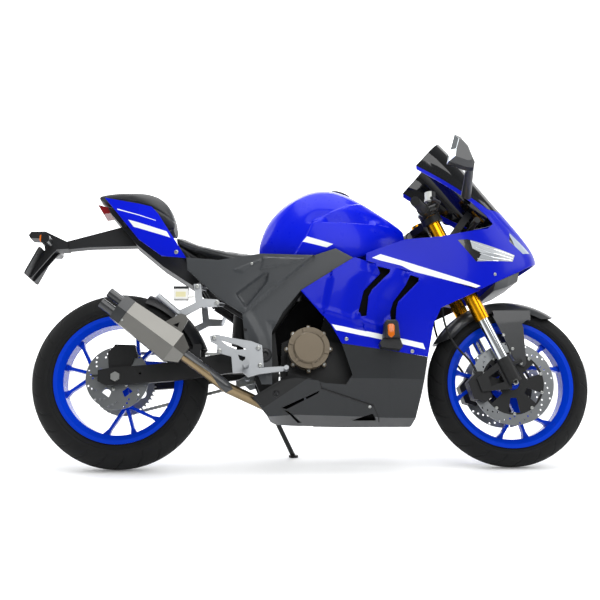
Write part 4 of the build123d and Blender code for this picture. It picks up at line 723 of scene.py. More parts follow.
    def traced(self, node: str, line: tuple, side: Side, step_mm: float = 6.0) -> list[Vector]:
        """Points on a CAD node along a side-view line.

        Args:
            node: the node's name.
            line: the line's (x, z) points, in upright millimetres.
            side: the side that the line lies on.
            step_mm: how far apart the points are.

        Returns:
            The points, without those that miss the node.
        """
        tree, points = self.surface(node), []
        for (x0, z0), (x1, z1) in zip(line, line[1:]):
            count = max(1, round(math.hypot(x1 - x0, z1 - z0) / step_mm))
            for k in range(count + 1):
                hit = self.on_side(tree, x0 + (x1 - x0) * k / count, z0 + (z1 - z0) * k / count, side)
                if hit and (not points or (hit[0] - points[-1]).length > 1e-4):
                    points.append(hit[0])
        return points

    def surface(self, node: str) -> BVHTree:
        """A search tree over the faces of a CAD node, or of the pressed skin that stands for it."""
        return search_tree(self.skins.get(node) or self.frame["nodes"][node].data)

    def on_side(self, tree: BVHTree, x: float, z: float, side: Side) -> tuple[Vector, Vector] | None:
        """Where a sideways line through (x, z) first meets a surface.

        Args:
            tree: the surface's search tree.
            x: forward measure on the upright bike, in millimetres.
            z: height on the upright bike, in millimetres.
            side: the side to come from.

        Returns:
            The point and the outward normal, or None where the line misses.
        """
        start = self.bike.point(x, side.value * FAR_OUT, z)
        run = self.bike.direction(0, -side.value, 0)
        place, normal, _, _ = tree.ray_cast(start, run)
        if place is None:
            return None
        if normal.dot(run) > 0:
            normal = -normal
        return place, normal


def mesh_from(name: str, points: np.ndarray, faces: list) -> Mesh:
    """A smooth-shaded mesh with its faces turned outwards.

    Args:
        name: the mesh's name.
        points: vertex places in metres.
        faces: tuples of vertex numbers.

    Returns:
        The mesh.
    """
    mesh = bpy.data.meshes.new(name)
    mesh.from_pydata([tuple(p) for p in points], [], faces)
    work = bmesh.new()
    work.from_mesh(mesh)
    bmesh.ops.remove_doubles(work, verts=work.verts, dist=1e-6)
    bmesh.ops.recalc_face_normals(work, faces=work.faces)
    unload(work, mesh)
    mesh.shade_smooth()
    return mesh


@dataclass
class TreadedTyre:
    """A tubeless tyre with slanted rain grooves moulded across its round tread, in upright millimetres."""

    name: str
    body: str
    centre_x: float
    radius: float
    width: float
    crown: float
    rim_half: float
    pitches: int = 26
    # Columns are the start in pitches, both ends as shares of the half tread, and the slant in pitches
    grooves: tuple = ((0.0, 0.10, 0.62, 0.75), (0.5, 0.45, 0.97, 0.55))
    groove_depth: float = 4.5
    groove_half: float = 3.0
    groove_wall: float = 1.6
    end_taper: float = 6.0
    hand_shift: float = 0.25
    bead_in: float = 5.3
    lip_radius: float = 228.3
    bead_radius: float = 212.3
    # Heights of the wall's rings as shares, and those of them that carry a moulded rib
    wall_shares: tuple = (0.12, 0.2, 0.22, 0.3, 0.55, 0.6, 0.62, 0.7, 0.9)
    rib_shares: tuple = (0.2, 0.6)
    wall_swell: float = 2.0
    rib_rise: float = 1.2
    tread_points: int = 61
    segments: int = 864
    off_tread: float = 2.0

    def profile(self) -> np.ndarray:
        """Points across the tyre from bead to bead as (radius, y, share of the half tread)."""
        bead = self.rim_half - self.bead_in
        half = self.width / 2
        round_radius = (half**2 + self.crown**2) / (2 * self.crown)
        reach = math.asin(half / round_radius)
        if self.crown >= round_radius:
            reach = math.pi - reach
        tread = []
        for step in np.linspace(-1.0, 1.0, self.tread_points):
            angle = step * reach
            tread.append((self.radius - round_radius + round_radius * math.cos(angle),
                          round_radius * math.sin(angle), step))
        wall = [(self.bead_radius, bead), (self.lip_radius, bead)]
        for share in self.wall_shares:
            swell = self.wall_swell * math.sin(math.pi * share) + self.rib_rise * (share in self.rib_shares)
            wall.append((self.lip_radius + (self.radius - self.crown - self.lip_radius) * share,
                         bead + (half - bead) * share + swell))
        left = [(r, y, self.off_tread) for r, y in wall]
        right = [(r, -y, -self.off_tread) for r, y in wall]
        return np.array(right + tread + left[::-1])

    def build(self, shop: Workshop) -> None:
        """Make the tyre and let it stand for the plain CAD ring."""
        rows = self.profile()
        count, across = self.segments, len(rows)
        turn = np.linspace(0, 2 * np.pi, count, endpoint=False)[:, None]
        radius, y, share = (np.repeat(rows[None, :, column], count, 0) for column in range(3))
        pitch = 2 * np.pi / self.pitches
        depth = np.zeros_like(radius)
        for hand in (-1, 1):
            reach = share * hand
            for start, low, high, slant in self.grooves:
                along = np.clip((reach - low) / (high - low), 0, 1)
                centre = (start + self.hand_shift * (hand > 0)) * pitch + slant * pitch * np.sqrt(along)
                gap = np.abs((turn - centre + pitch / 2) % pitch - pitch / 2) * self.radius
                taper = np.minimum(1.0, self.end_taper * np.minimum(along, 1 - along) + 0.001)
                cut = np.clip((self.groove_half * taper - gap) / self.groove_wall, 0, 1)
                depth = np.maximum(depth, np.where((reach > low) & (reach < high), cut, 0.0))
        radius = radius - depth * self.groove_depth
        x = self.centre_x + radius * np.cos(turn)
        z = self.radius + radius * np.sin(turn)
        points = np.stack([x, y, z], -1).reshape(-1, 3)
        faces = []
        for i in range(count):
            after = (i + 1) % count
            for j in range(across):
                over = (j + 1) % across
                faces.append((i * across + j, after * across + j, after * across + over, i * across + over))
        mesh = mesh_from(self.name, points, faces)
        mesh.transform(shop.bike.matrix())
        piece = shop.add_piece(self.name, mesh, "natural_rubber_tyre", self.body)
        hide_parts(self.name.replace("treaded_", ""))


def distance_to(points: np.ndarray, line: tuple) -> tuple[np.ndarray, np.ndarray]:
    """How far side-view points lie from a line, and on which hand of its run.

    Args:
        points: rows of (x, z) in millimetres.
        line: the line's corners.

    Returns:
        The distances, and 1 for points on the left of the run or -1 on its right.
    """
    best = np.full(len(points), np.inf)
    hand = np.zeros(len(points))
    for start, end in zip(line, line[1:]):
        first = np.array(start, float)
        run = np.array(end, float) - first
        share = np.clip((points - first) @ run / (run @ run), 0, 1)
        gap = points - (first + share[:, None] * run)
        reach = np.hypot(gap[:, 0], gap[:, 1])
        cross = run[0] * (points[:, 1] - first[1]) - run[1] * (points[:, 0] - first[0])
        closer = reach < best
        best = np.where(closer, reach, best)
        hand = np.where(closer, np.where(cross >= 0, 1.0, -1.0), hand)
    return best, hand


def inside(points: np.ndarray, outline: tuple) -> np.ndarray:
    """Which side-view points lie inside a closed outline."""
    found = np.zeros(len(points), bool)
    for (x0, z0), (x1, z1) in zip(outline, outline[1:] + outline[:1]):
        if z0 != z1:
            spans = (z0 > points[:, 1]) != (z1 > points[:, 1])
            found ^= spans & (points[:, 0] < (x1 - x0) * (points[:, 1] - z0) / (z1 - z0) + x0)
    return found


def eased(share: np.ndarray) -> np.ndarray:
    """A smooth rise from 0 to 1."""
    share = np.clip(share, 0, 1)
    return share * share * (3 - 2 * share)


@dataclass(frozen=True)
class Hollow:
    """A hollow that is deepest along an edge and fades out over its reach on one hand of the edge."""

    edge: tuple
    hand: int
    reach: float
    depth: float
    end_fade: float = 36.0
    edge_touch: float = 0.5

    def lift(self, points: np.ndarray) -> np.ndarray:
        """The outward move of side-view points, in millimetres."""
        gap, hand = distance_to(points, self.edge)
        ends = [np.hypot(*(points - np.array(end)).T) for end in (self.edge[0], self.edge[-1])]
        depth = self.depth * eased(1 - gap / self.reach) * eased(np.minimum(*ends) / self.end_fade)
        return np.where((hand * self.hand >= 0) | (gap < self.edge_touch), -depth, 0.0)


@dataclass(frozen=True)
class Pocket:
    """An area that is sunk behind a soft edge, or raised where its depth is negative."""

    outline: tuple
    depth: float
    soft: float

    def lift(self, points: np.ndarray) -> np.ndarray:
        """The outward move of side-view points, in millimetres."""
        gap, _ = distance_to(points, self.outline + self.outline[:1])
        return np.where(inside(points, self.outline), -self.depth * eased(gap / self.soft), 0.0)


@dataclass(frozen=True)
class Ridge:
    """A pressed line that stands proud along its run."""

    line: tuple
    reach: float
    rise: float

    def lift(self, points: np.ndarray) -> np.ndarray:
        """The outward move of side-view points, in millimetres."""
        gap, _ = distance_to(points, self.line)
        return self.rise * np.clip(1 - gap / self.reach, 0, 1)


@dataclass(frozen=True)
class Facet:
    """A side of a line that stands proud by a rise, over a soft step, and falls off again over its reach."""

    line: tuple
    hand: int
    rise: float
    soft: float
    reach: float = 1000.0

    def lift(self, points: np.ndarray) -> np.ndarray:
        """The outward move of side-view points, in millimetres."""
        gap, hand = distance_to(points, self.line)
        signed = gap * hand * self.hand
        return self.rise * eased(signed / self.soft + 0.5) * np.clip(1 - signed / self.reach, 0, 1)


@dataclass
class PressedPanel:
    """A pair of thin moulded panels, cut to a side-view outline and pressed into hollows and ridges.

    rim_step, row_step and rim_clear are shares of the spacing: between points on an edge, between the rows of
    points inside, and between an edge and the nearest of those.
    """

    name: str
    node: str
    finish: str
    slot: str
    outline: tuple
    openings: tuple = ()
    features: tuple = ()
    spacing: float = 5.0
    wall: float = 3.0
    smoothing: int = 80
    edge_round: float = 1.2
    sunk: float = 0.0
    creases: tuple = ()
    stands_for_node: bool = True
    rim_step: float = 0.7
    row_step: float = 0.87
    rim_clear: float = 0.55

    def cut(self) -> tuple[np.ndarray, np.ndarray]:
        """Cut the flat panel into small triangles that follow its edges.

        Returns:
            The side-view points and the triangles.
        """
        points, edges = [], []
        loops = [line + line[:1] for line in (self.outline, *self.openings)]
        for loop in (*loops, *self.creases):
            first = len(points)
            for (x0, z0), (x1, z1) in zip(loop, loop[1:]):
                steps = max(1, round(math.hypot(x1 - x0, z1 - z0) / (self.spacing * self.rim_step)))
                points += [(x0 + (x1 - x0) * k / steps, z0 + (z1 - z0) * k / steps) for k in range(steps)]
            if loop[0] == loop[-1]:
                edges.append((len(points) - 1, first))
            else:
                points.append(loop[-1])
            edges += [(k, k + 1) for k in range(first, len(points) - 1)]
        rim = np.array(points)
        xs = np.arange(rim[:, 0].min(), rim[:, 0].max(), self.spacing)
        zs = np.arange(rim[:, 1].min(), rim[:, 1].max(), self.spacing * self.row_step)
        grid = np.array([(x + (row % 2) * self.spacing / 2, z) for row, z in enumerate(zs) for x in xs])
        keep = inside(grid, self.outline)
        for loop in (*loops, *self.creases):
            keep &= distance_to(grid, loop)[0] > self.rim_clear * self.spacing
        for opening in self.openings:
            keep &= ~inside(grid, opening)
        every = [Vector(p) for p in points] + [Vector(p) for p in grid[keep]]
        whole_hull, same_point = 0, 1e-4
        flat, _, faces, _, _, _ = delaunay_2d_cdt(every, edges, [], whole_hull, same_point)
        flat = np.array([tuple(p) for p in flat])
        faces = np.array([f for f in faces if len(f) == 3])
        middle = flat[faces].mean(1)
        good = inside(middle, self.outline)
        for opening in self.openings:
            good &= ~inside(middle, opening)
        return flat, faces[good]

    def reach_of(self, shop: Workshop, flat: np.ndarray) -> np.ndarray:
        """The half width of the CAD panel at each side-view point."""
        tree = shop.surface(self.node)
        back = shop.bike.matrix().inverted()
        half = np.full(len(flat), np.nan)
        for number, (x, z) in enumerate(flat):
            found = shop.on_side(tree, x, z, Side.RIGHT)
            if found:
                half[number] = -(back @ found[0]).y
        held = np.flatnonzero(~np.isnan(half))
        for number in np.flatnonzero(np.isnan(half)):
            nearest = held[np.argmin(((flat[held] - flat[number]) ** 2).sum(1))]
            half[number] = half[nearest]
        return half

    def build(self, shop: Workshop) -> None:
        """Press the panels and, where they do so, let them stand for the CAD node."""
        flat, faces = self.cut()
        half = self.reach_of(shop, flat)
        sides = np.concatenate([faces[:, [0, 1]], faces[:, [1, 2]], faces[:, [2, 0]]])
        sides.sort(axis=1)
        pairs, uses = np.unique(sides, axis=0, return_counts=True)
        rim = pairs[uses == 1]
        fixed = np.zeros(len(flat), bool)
        fixed[rim.ravel()] = True
        degree = np.bincount(pairs.ravel(), minlength=len(flat)).clip(1)
        for _ in range(self.smoothing):
            total = np.zeros(len(flat))
            np.add.at(total, pairs[:, 0], half[pairs[:, 1]])
            np.add.at(total, pairs[:, 1], half[pairs[:, 0]])
            half = np.where(fixed, half, total / degree)
        half -= self.sunk
        for feature in self.features:
            half = half + feature.lift(flat)
        count = len(flat)
        points, skins = [], []
        for side in Side:
            for depth in (0.0, self.wall):
                points.append(np.stack([flat[:, 0], side.value * (half - depth), flat[:, 1]], 1))
            start = 2 * count * len(skins)
            skin = [tuple(f + start) for f in faces] + [tuple(f + start + count) for f in faces]
            skin += [(a + start, b + start, b + start + count, a + start + count) for a, b in rim]
            skins.append(skin)
        mesh = mesh_from(self.name, np.concatenate(points), skins[0] + skins[1])
        mesh.materials.append(shop.material(self.finish))
        mesh.materials.append(shop.material("moulded_abs_black"))
        behind = np.tile(np.repeat([0, 1, 0], [len(faces), len(faces), len(rim)]), 2)
        mesh.polygons.foreach_set("material_index", behind)
        mesh.transform(shop.bike.matrix())
        mesh = shop.rounded(mesh, self.edge_round)
        piece = shop.add_piece(self.name, mesh, "", "chassis")
        if self.stands_for_node:
            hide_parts(self.node)
            shop.skins[self.node] = mesh


@dataclass
class PressedTank:
    """The steel fuel tank with its pressed collar line and the hollow above the knee."""

    name: str = "pressed_fuel_tank"
    node: str = "fuel_tank"
    voxel_mm: float = 3.5
    least_facing: float = 0.25
    facing_fade: float = 0.35
    features: tuple = (
        Facet(((880, 958), (814, 935), (689, 870), (665, 815), (612, 730)), 1, 9.0, 6.0, 260.0),
        Hollow(((712, 862), (813, 861), (922, 864)), 1, 58.0, 13.0),
        Ridge(((640, 960), (560, 880), (520, 800)), 26.0, 4.0),
    )

    def build(self, shop: Workshop) -> None:
        """Press the lines into a fine copy of the CAD tank."""
        mesh = shop.remeshed(self.node, self.voxel_mm)
        mesh.transform(shop.bike.matrix().inverted())
        place = places(mesh)
        lift = sum(feature.lift(place[:, [0, 2]]) for feature in self.features)
        # Only faces that look sideways are pressed
        weight = eased((np.abs(facings(mesh)[:, 1]) - self.least_facing) / self.facing_fade)
        place[:, 1] += np.sign(place[:, 1]) * lift * weight
        mesh.vertices.foreach_set("co", place.ravel())
        mesh.transform(shop.bike.matrix())
        mesh.shade_smooth()
        piece = shop.add_piece(self.name, mesh, "lacquered_steel_blue", "chassis")
        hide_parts(self.node)
        shop.skins[self.node] = mesh


@dataclass
class StuffedSeat:
    """A foam seat under embossed vinyl: the cover swells between its seams."""

    name: str
    node: str
    seam_share: float = 0.42
    seam_half: float = 4.0
    seam_depth: float = 2.2
    voxel_mm: float = 6.0
    shrink_mm: float = 3.0
    cap_mm: float = 5.0
    pressure: float = 4.0
    quality: int = 5
    frames: int = 20
    slices: int = 23
    stitch_pitch: float = 9.0
    stitch_above: float = 7.0
    stitch_rings: tuple = ((0.4, -3.0), (0.9, -2.0), (0.9, 2.0), (0.4, 3.0))
    stitch_sides: int = 6

    def swell(self, mesh: Mesh) -> Mesh:
        """Blow the cover up against its own stiffness.

        Args:
            mesh: the closed cover, in metres.

        Returns:
            The swollen cover, no point moved past the cap.
        """
        cover = bpy.data.objects.new("seat_cover", mesh)
        scene = bpy.context.scene
        scene.collection.objects.link(cover)
        cloth = cover.modifiers.new("cover", "CLOTH")
        cloth.settings.quality = self.quality
        cloth.settings.use_pressure = True
        cloth.settings.uniform_pressure_force = self.pressure
        cloth.settings.effector_weights.gravity = 0.0
        cloth.point_cache.frame_start, cloth.point_cache.frame_end = 1, self.frames
        for number in range(1, self.frames + 1):
            scene.frame_set(number)
        depsgraph = bpy.context.evaluated_depsgraph_get()
        swollen = bpy.data.meshes.new_from_object(cover.evaluated_get(depsgraph))
        start = places(mesh)
        moved = places(swollen) - start
        far = np.linalg.norm(moved, axis=1, keepdims=True)
        moved *= np.minimum(1.0, self.cap_mm / 1000 / np.maximum(far, 1e-9))
        swollen.vertices.foreach_set("co", (start + moved).ravel())
        bpy.data.objects.remove(cover)
        scene.frame_set(1)
        return swollen

    def build(self, shop: Workshop, shapes: SmallShapes) -> None:
        """Stuff the seat, sew its seam and let it stand for the CAD pad."""
        mesh = shop.remeshed(self.node, self.voxel_mm, -self.shrink_mm)
        mesh = self.swell(mesh)
        mesh = shop.subdivided(mesh)
        mesh.transform(shop.bike.matrix().inverted())
        place = places(mesh)
        bins = np.linspace(place[:, 0].min(), place[:, 0].max(), self.slices + 1)
        number = np.clip(np.digitize(place[:, 0], bins) - 1, 0, self.slices - 1)
        low = np.array([place[number == k, 2].min() for k in range(self.slices)])
        high = np.array([place[number == k, 2].max() for k in range(self.slices)])
        middle = (bins[:-1] + bins[1:]) / 2
        base = np.interp(place[:, 0], middle, low)
        seam = base + self.seam_share * (np.interp(place[:, 0], middle, high) - base)
        pull = self.seam_depth * np.exp(-(((place[:, 2] - seam) / self.seam_half) ** 2))
        place -= facings(mesh) * pull[:, None]
        mesh.vertices.foreach_set("co", place.ravel())
        mesh.transform(shop.bike.matrix())
        mesh.shade_smooth()
        piece = shop.add_piece(self.name, mesh, "embossed_vinyl_black", "chassis")
        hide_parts(self.node)
        tree, spots = search_tree(mesh), []
        for x in np.arange(middle[1], middle[-2], self.stitch_pitch):
            low_z, high_z = np.interp(x, middle, low), np.interp(x, middle, high)
            height = low_z + self.seam_share * (high_z - low_z) + self.stitch_above
            for side in Side:
                hit = shop.on_side(tree, x, height, side)
                if hit:
                    spots.append(Spot(*hit, shop.bike.ahead, MM))
        thread = lathe(self.name + "_stitch", self.stitch_rings, self.stitch_sides)
        thread.transform(Matrix.Rotation(math.pi / 2, 4, "Y"))
        shapes.build(shop, self.name + "_stitches", thread, spots, "twisted_nylon_thread", "chassis",
                     "seat_vinyl")


def lathe(name: str, rings: tuple, sides: int) -> Mesh:
    """A small turned shape about Z, closed at both ends.

    Args:
        name: the mesh's name.
        rings: (radius, z) of each ring from the base up.
        sides: how many sides the rings have.

    Returns:
        The mesh.
    """
    turn = np.linspace(0, 2 * np.pi, sides, endpoint=False)
    points = [np.stack([r * np.cos(turn), r * np.sin(turn), np.full(sides, z)], 1) for r, z in rings]
    last = (len(rings) - 1) * sides
    faces = []
    for low in range(0, last, sides):
        high = low + sides
        faces += [(low + i, low + (i + 1) % sides, high + (i + 1) % sides, high + i) for i in range(sides)]
    faces += [tuple(range(sides)), tuple(range(last, last + sides))]
    return mesh_from(name, np.concatenate(points), faces)


def paired_prisms(outline: tuple, inner: float, outer: float) -> tuple[list, list]:
    """Two prisms of one outline, on either side of its plane.

    Args:
        outline: the (u, v) corners.
        inner: how far from the plane the prisms start.
        outer: how far from the plane they end.

    Returns:
        The points as (u, v, distance from the plane), and the faces.
    """
    points, faces = [], []
    count = len(outline)
    for side in Side:
        first = len(points)
        for away in (inner, outer):
            points += [(u, v, side.value * away) for u, v in outline]
        faces += [tuple(range(first, first + count)), tuple(range(first + count, first + 2 * count))]
        faces += [(first + i, first + (i + 1) % count, first + count + (i + 1) % count, first + count + i)
                  for i in range(count)]
    return points, faces


def start_tree(name: str, inputs: dict[str, str]) -> tuple[Tree, bpy.types.Node]:
    """Start a geometry node tree.

    Args:
        name: the tree's name.
        inputs: the kind of each input, by the input's name.

    Returns:
        The tree and the node that gives its inputs.
    """
    tree = bpy.data.node_groups.new(name, "GeometryNodeTree")
    for label, kind in inputs.items():
        tree.interface.new_socket(label, in_out="INPUT", socket_type="NodeSocket" + kind)
    tree.interface.new_socket("Geometry", in_out="OUTPUT", socket_type="NodeSocketGeometry")
    return tree, add_node(tree, "NodeGroupInput")


def end_tree(tree: Tree, shape: Socket, finish: Socket) -> Tree:
    """Make a tree's shape real, give it its finish and send it out.

    Args:
        tree: the tree.
        shape: the geometry so far.
        finish: the material.

    Returns:
        The same tree.
    """
    real = add_node(tree, "GeometryNodeRealizeInstances", inputs={"Geometry": shape})
    dressed = add_node(tree, "GeometryNodeSetMaterial", inputs={
        "Geometry": real.outputs[0], "Material": finish})
    add_node(tree, "NodeGroupOutput", inputs={0: dressed.outputs[0]})
    return tree


def piping_tree(sides: int = 8) -> Tree:
    """The node tree that lays a round bead along every line.

    Args:
        sides: how many sides the bead has.

    Returns:
        The tree, with inputs Geometry, Radius and Finish.
    """
    tree, given = start_tree("lay_beads", {"Geometry": "Geometry", "Radius": "Float", "Finish": "Material"})
    line = add_node(tree, "GeometryNodeMeshToCurve", inputs={"Mesh": given.outputs["Geometry"]})
    ring = add_node(tree, "GeometryNodeCurvePrimitiveCircle", inputs={
        "Resolution": sides, "Radius": given.outputs["Radius"]})
    bead = add_node(tree, "GeometryNodeCurveToMesh", inputs={
        "Curve": line.outputs[0], "Profile Curve": ring.outputs[0], "Fill Caps": True})
    return end_tree(tree, bead.outputs[0], given.outputs["Finish"])


@dataclass
class Beading:
    """Round beads laid along lines: lamp ribs, the belly's rubber seal and the radiator's fins."""

    tree: Tree
    lamp_ribs: tuple = (
        ((1244, 786), (1290, 771), (1340, 758), (1408, 744)), ((1262, 764), (1310, 748), (1404, 733)),
        ((1276, 742), (1330, 729), (1398, 726)), ((1266, 721), (1300, 717), (1345, 718)),
    )
    rib_radius: float = 1.8
    belly_seal: tuple = (((705, 284), (710, 265), (891, 209), (917, 160)),)
    seal_radius: float = 2.4
    fin_rows: int = 20
    fin_low: float = 405.0
    fin_pitch: float = 10.5
    fin_half: float = 128.0
    fin_radius: float = 1.4

    def lay(self, shop: Workshop, name: str, lines: list, radius_mm: float, finish: str) -> None:
        """Lay beads along lines of points as one piece of the chassis."""
        points, edges = [], []
        for line in lines:
            edges += [(len(points) + k, len(points) + k + 1) for k in range(len(line) - 1)]
            points += line
        mesh = bpy.data.meshes.new(name + "_lines")
        mesh.from_pydata(points, edges, [])
        grown = shop.grown(mesh, self.tree, {"Radius": radius_mm / 1000, "Finish": shop.material(finish)})
        shop.add_piece(name, grown, "", "chassis")

    def build(self, shop: Workshop) -> None:
        """Lay the ribs, the seals and the fins."""
        for name, node, lines, radius, finish, slot in (
            ("lamp_ribs", "headlights", self.lamp_ribs, self.rib_radius, "hard_chromed_steel", "steel"),
            ("belly_seals", "belly_pan", self.belly_seal, self.seal_radius, "moulded_grip_rubber",
             "black_plastic"),
        ):
            beads = [shop.traced(node, line, side) for side in Side for line in lines]
            self.lay(shop, name, beads, radius, finish)
        core, fins = shop.surface("radiator"), []
        back = shop.bike.direction(-1, 0, 0)
        for row in range(self.fin_rows):
            height = self.fin_low + row * self.fin_pitch
            starts = [shop.bike.point(WHEELBASE, side.value * self.fin_half, height) for side in Side]
            ends = [core.ray_cast(start, back)[0] for start in starts]
            if None not in ends:
                fins.append(ends)
        self.lay(shop, "radiator_fins", fins, self.fin_radius, "zinc_plated_steel")


def scatter_tree() -> Tree:
    """The node tree that sets one shape on every point, turned to the point's facing and scaled to its size.

    Returns:
        The tree, with inputs Geometry, Shape and Finish.
    """
    tree, given = start_tree("set_shapes", {"Geometry": "Geometry", "Shape": "Object", "Finish": "Material"})
    shape = add_node(tree, "GeometryNodeObjectInfo", inputs={"Object": given.outputs["Shape"]})
    facing, leading, size = (
        add_node(tree, "GeometryNodeInputNamedAttribute", {"data_type": kind}, {"Name": label}).outputs[0]
        for label, kind in (("facing", "FLOAT_VECTOR"), ("leading", "FLOAT_VECTOR"), ("size", "FLOAT")))
    upright = add_node(tree, "FunctionNodeAlignRotationToVector", {"axis": "Z"}, {"Vector": facing})
    turned = add_node(tree, "FunctionNodeAlignRotationToVector", {"axis": "X", "pivot_axis": "Z"}, {
        "Rotation": upright.outputs[0], "Vector": leading})
    placed = add_node(tree, "GeometryNodeInstanceOnPoints", inputs={
        "Points": given.outputs["Geometry"], "Instance": shape.outputs["Geometry"],
        "Rotation": turned.outputs[0], "Scale": size})
    return end_tree(tree, placed.outputs[0], given.outputs["Finish"])


@dataclass(frozen=True)
class Spot:
    """A place for a small shape, in metres: its point, its facing, the way its X points and its scale."""

    place: Vector
    facing: Vector
    leading: Vector
    size: float


@dataclass
class SmallShapes:
    """Sets one small shape, such as a screw or a link, on many spots of one body."""

    tree: Tree

    def build(self, shop: Workshop, name: str, shape: Mesh, spots: list[Spot], finish: str, body: str,
              slot: str) -> Thing:
        """Set the shapes as one mesh.

        Args:
            shop: the workshop.
            name: the piece's name.
            shape: the shape, in metres at scale 1.
            spots: where the shapes go, in metres on the leaning bike.
            finish: the shapes' finish.
            body: the body that carries them.
            slot: not used.

        Returns:
            The piece.
        """
        mesh = bpy.data.meshes.new(name + "_spots")
        mesh.from_pydata([tuple(spot.place) for spot in spots], [], [])
        for label in ("facing", "leading"):
            layer = mesh.attributes.new(label, "FLOAT_VECTOR", "POINT")
            values = np.array([tuple(getattr(spot, label)) for spot in spots])
            layer.data.foreach_set("vector", values.ravel())
        mesh.attributes.new("size", "FLOAT", "POINT").data.foreach_set("value", [spot.size for spot in spots])
        model = bpy.data.objects.new(name + "_shape", shape)
        result = shop.grown(mesh, self.tree, {"Shape": model, "Finish": shop.material(finish)})
        bpy.data.objects.remove(model)
        return shop.add_piece(name, result, "", body)


@dataclass(frozen=True)
class ScrewRing:
    """A ring of screws about a sideways line, facing outwards, in upright millimetres.

    phase turns the first screw by that share of the angle between two.
    """

    centre: tuple[float, float]
    y: float
    reach: float
    count: int
    radius: float
    phase: float = 0.5

    def spots(self, shop: Workshop) -> list[Spot]:
        """The screws' places."""
        out = shop.bike.direction(0, math.copysign(1, self.y), 0)
        found = []
        for number in range(self.count):
            turn = 2 * math.pi * (number + self.phase) / self.count
            place = shop.bike.point(self.centre[0] + self.reach * math.cos(turn), self.y,
                                    self.centre[1] + self.reach * math.sin(turn))
            found.append(Spot(place, out, shop.bike.ahead, self.radius / 1000))
        return found


# Rings of a socket head of radius 1, from under its rim to the floor of its socket
SOCKET_HEAD = ((1.0, -0.4), (1.0, 0.22), (0.86, 0.44), (0.62, 0.56), (0.48, 0.56), (0.42, 0.2))
HEAD_SIDES = 12
FRONT_AXLE = (WHEELBASE, FRONT_RADIUS)
REAR_AXLE = (0.0, REAR_RADIUS)


@dataclass
class Fasteners:
    """Button-head screws and plugs, set on the panels by sideways lines through their side-view places."""

    shapes: SmallShapes
    # Columns are node, x, z and head radius in millimetres
    chassis: tuple = (
        ("side_fairings", 796, 433, 7), ("side_fairings", 1027, 394, 7), ("belly_pan", 879, 207, 6),
        ("belly_pan", 480, 262, 7), ("tail_panels", 201, 758, 8), ("rearsets", 343, 437, 8),
        ("rearsets", 362, 392, 8), ("rearsets", 494, 402, 8), ("rearsets", 500, 342, 8),
        ("pillion_hangers", 282, 618, 8), ("pillion_hangers", 351, 561, 8), ("frame_covers", 470, 705, 5),
        ("upper_cowl", 1330, 668, 6),
    )
    plugs: tuple = (
        ("belly_pan", 555, 249, 11), ("frame_covers", 516, 380, 24), ("frame_covers", 448, 470, 6))
    right_only: tuple = (("silencer", 66, 537, 4), ("silencer", 52, 513, 4), ("silencer", 38, 488, 4))
    steering: tuple = (
        ("front_mudguard", 1374, 466, 6), ("front_mudguard", 1404, 416, 6), ("front_mudguard", 1432, 364, 6),
        ("front_calipers", 1262, 368, 8), ("front_calipers", 1236, 268, 8),
    )
    clutch: ScrewRing = ScrewRing((668.0, 407.0), -142.5, 76.0, 8, 5.5, phase=0.0)
    front_discs: tuple = (
        ScrewRing(FRONT_AXLE, -74.6, 108.0, 10, 6.0), ScrewRing(FRONT_AXLE, 74.6, 108.0, 10, 6.0))
    rear_disc: ScrewRing = ScrewRing(REAR_AXLE, -84.6, 40.0, 5, 6.0)

    def spots(self, shop: Workshop, rows: tuple, sides: tuple[Side, ...] = tuple(Side)) -> list[Spot]:
        """The rows' places on the surfaces that show."""
        found = []
        for node, x, z, radius in rows:
            tree = shop.surface(node)
            for side in sides:
                hit = shop.on_side(tree, x, z, side)
                if hit:
                    found.append(Spot(*hit, shop.bike.ahead, radius / 1000))
        return found

    def build(self, shop: Workshop) -> None:
        """Set all screws, one mesh for each body and finish."""
        panels = self.spots(shop, self.chassis) + self.spots(shop, self.right_only, (Side.RIGHT,))
        buttons = [spot for ring in self.front_discs for spot in ring.spots(shop)]
        for name, spots, finish, body, slot in (
            ("panel_screws", panels + self.clutch.spots(shop), "zinc_plated_steel", "chassis", "steel"),
            ("panel_plugs", self.spots(shop, self.plugs), "moulded_abs_black", "chassis", "black_plastic"),
            ("fork_screws", self.spots(shop, self.steering), "zinc_plated_steel", "steering", "steel"),
            ("front_disc_buttons", buttons, "zinc_plated_steel", "front_wheel", "steel"),
            ("rear_disc_screws", self.rear_disc.spots(shop), "zinc_plated_steel", "rear_wheel", "steel"),
        ):
            shape = lathe(name + "_head", SOCKET_HEAD, HEAD_SIDES)
            self.shapes.build(shop, name, shape, spots, finish, body, slot)


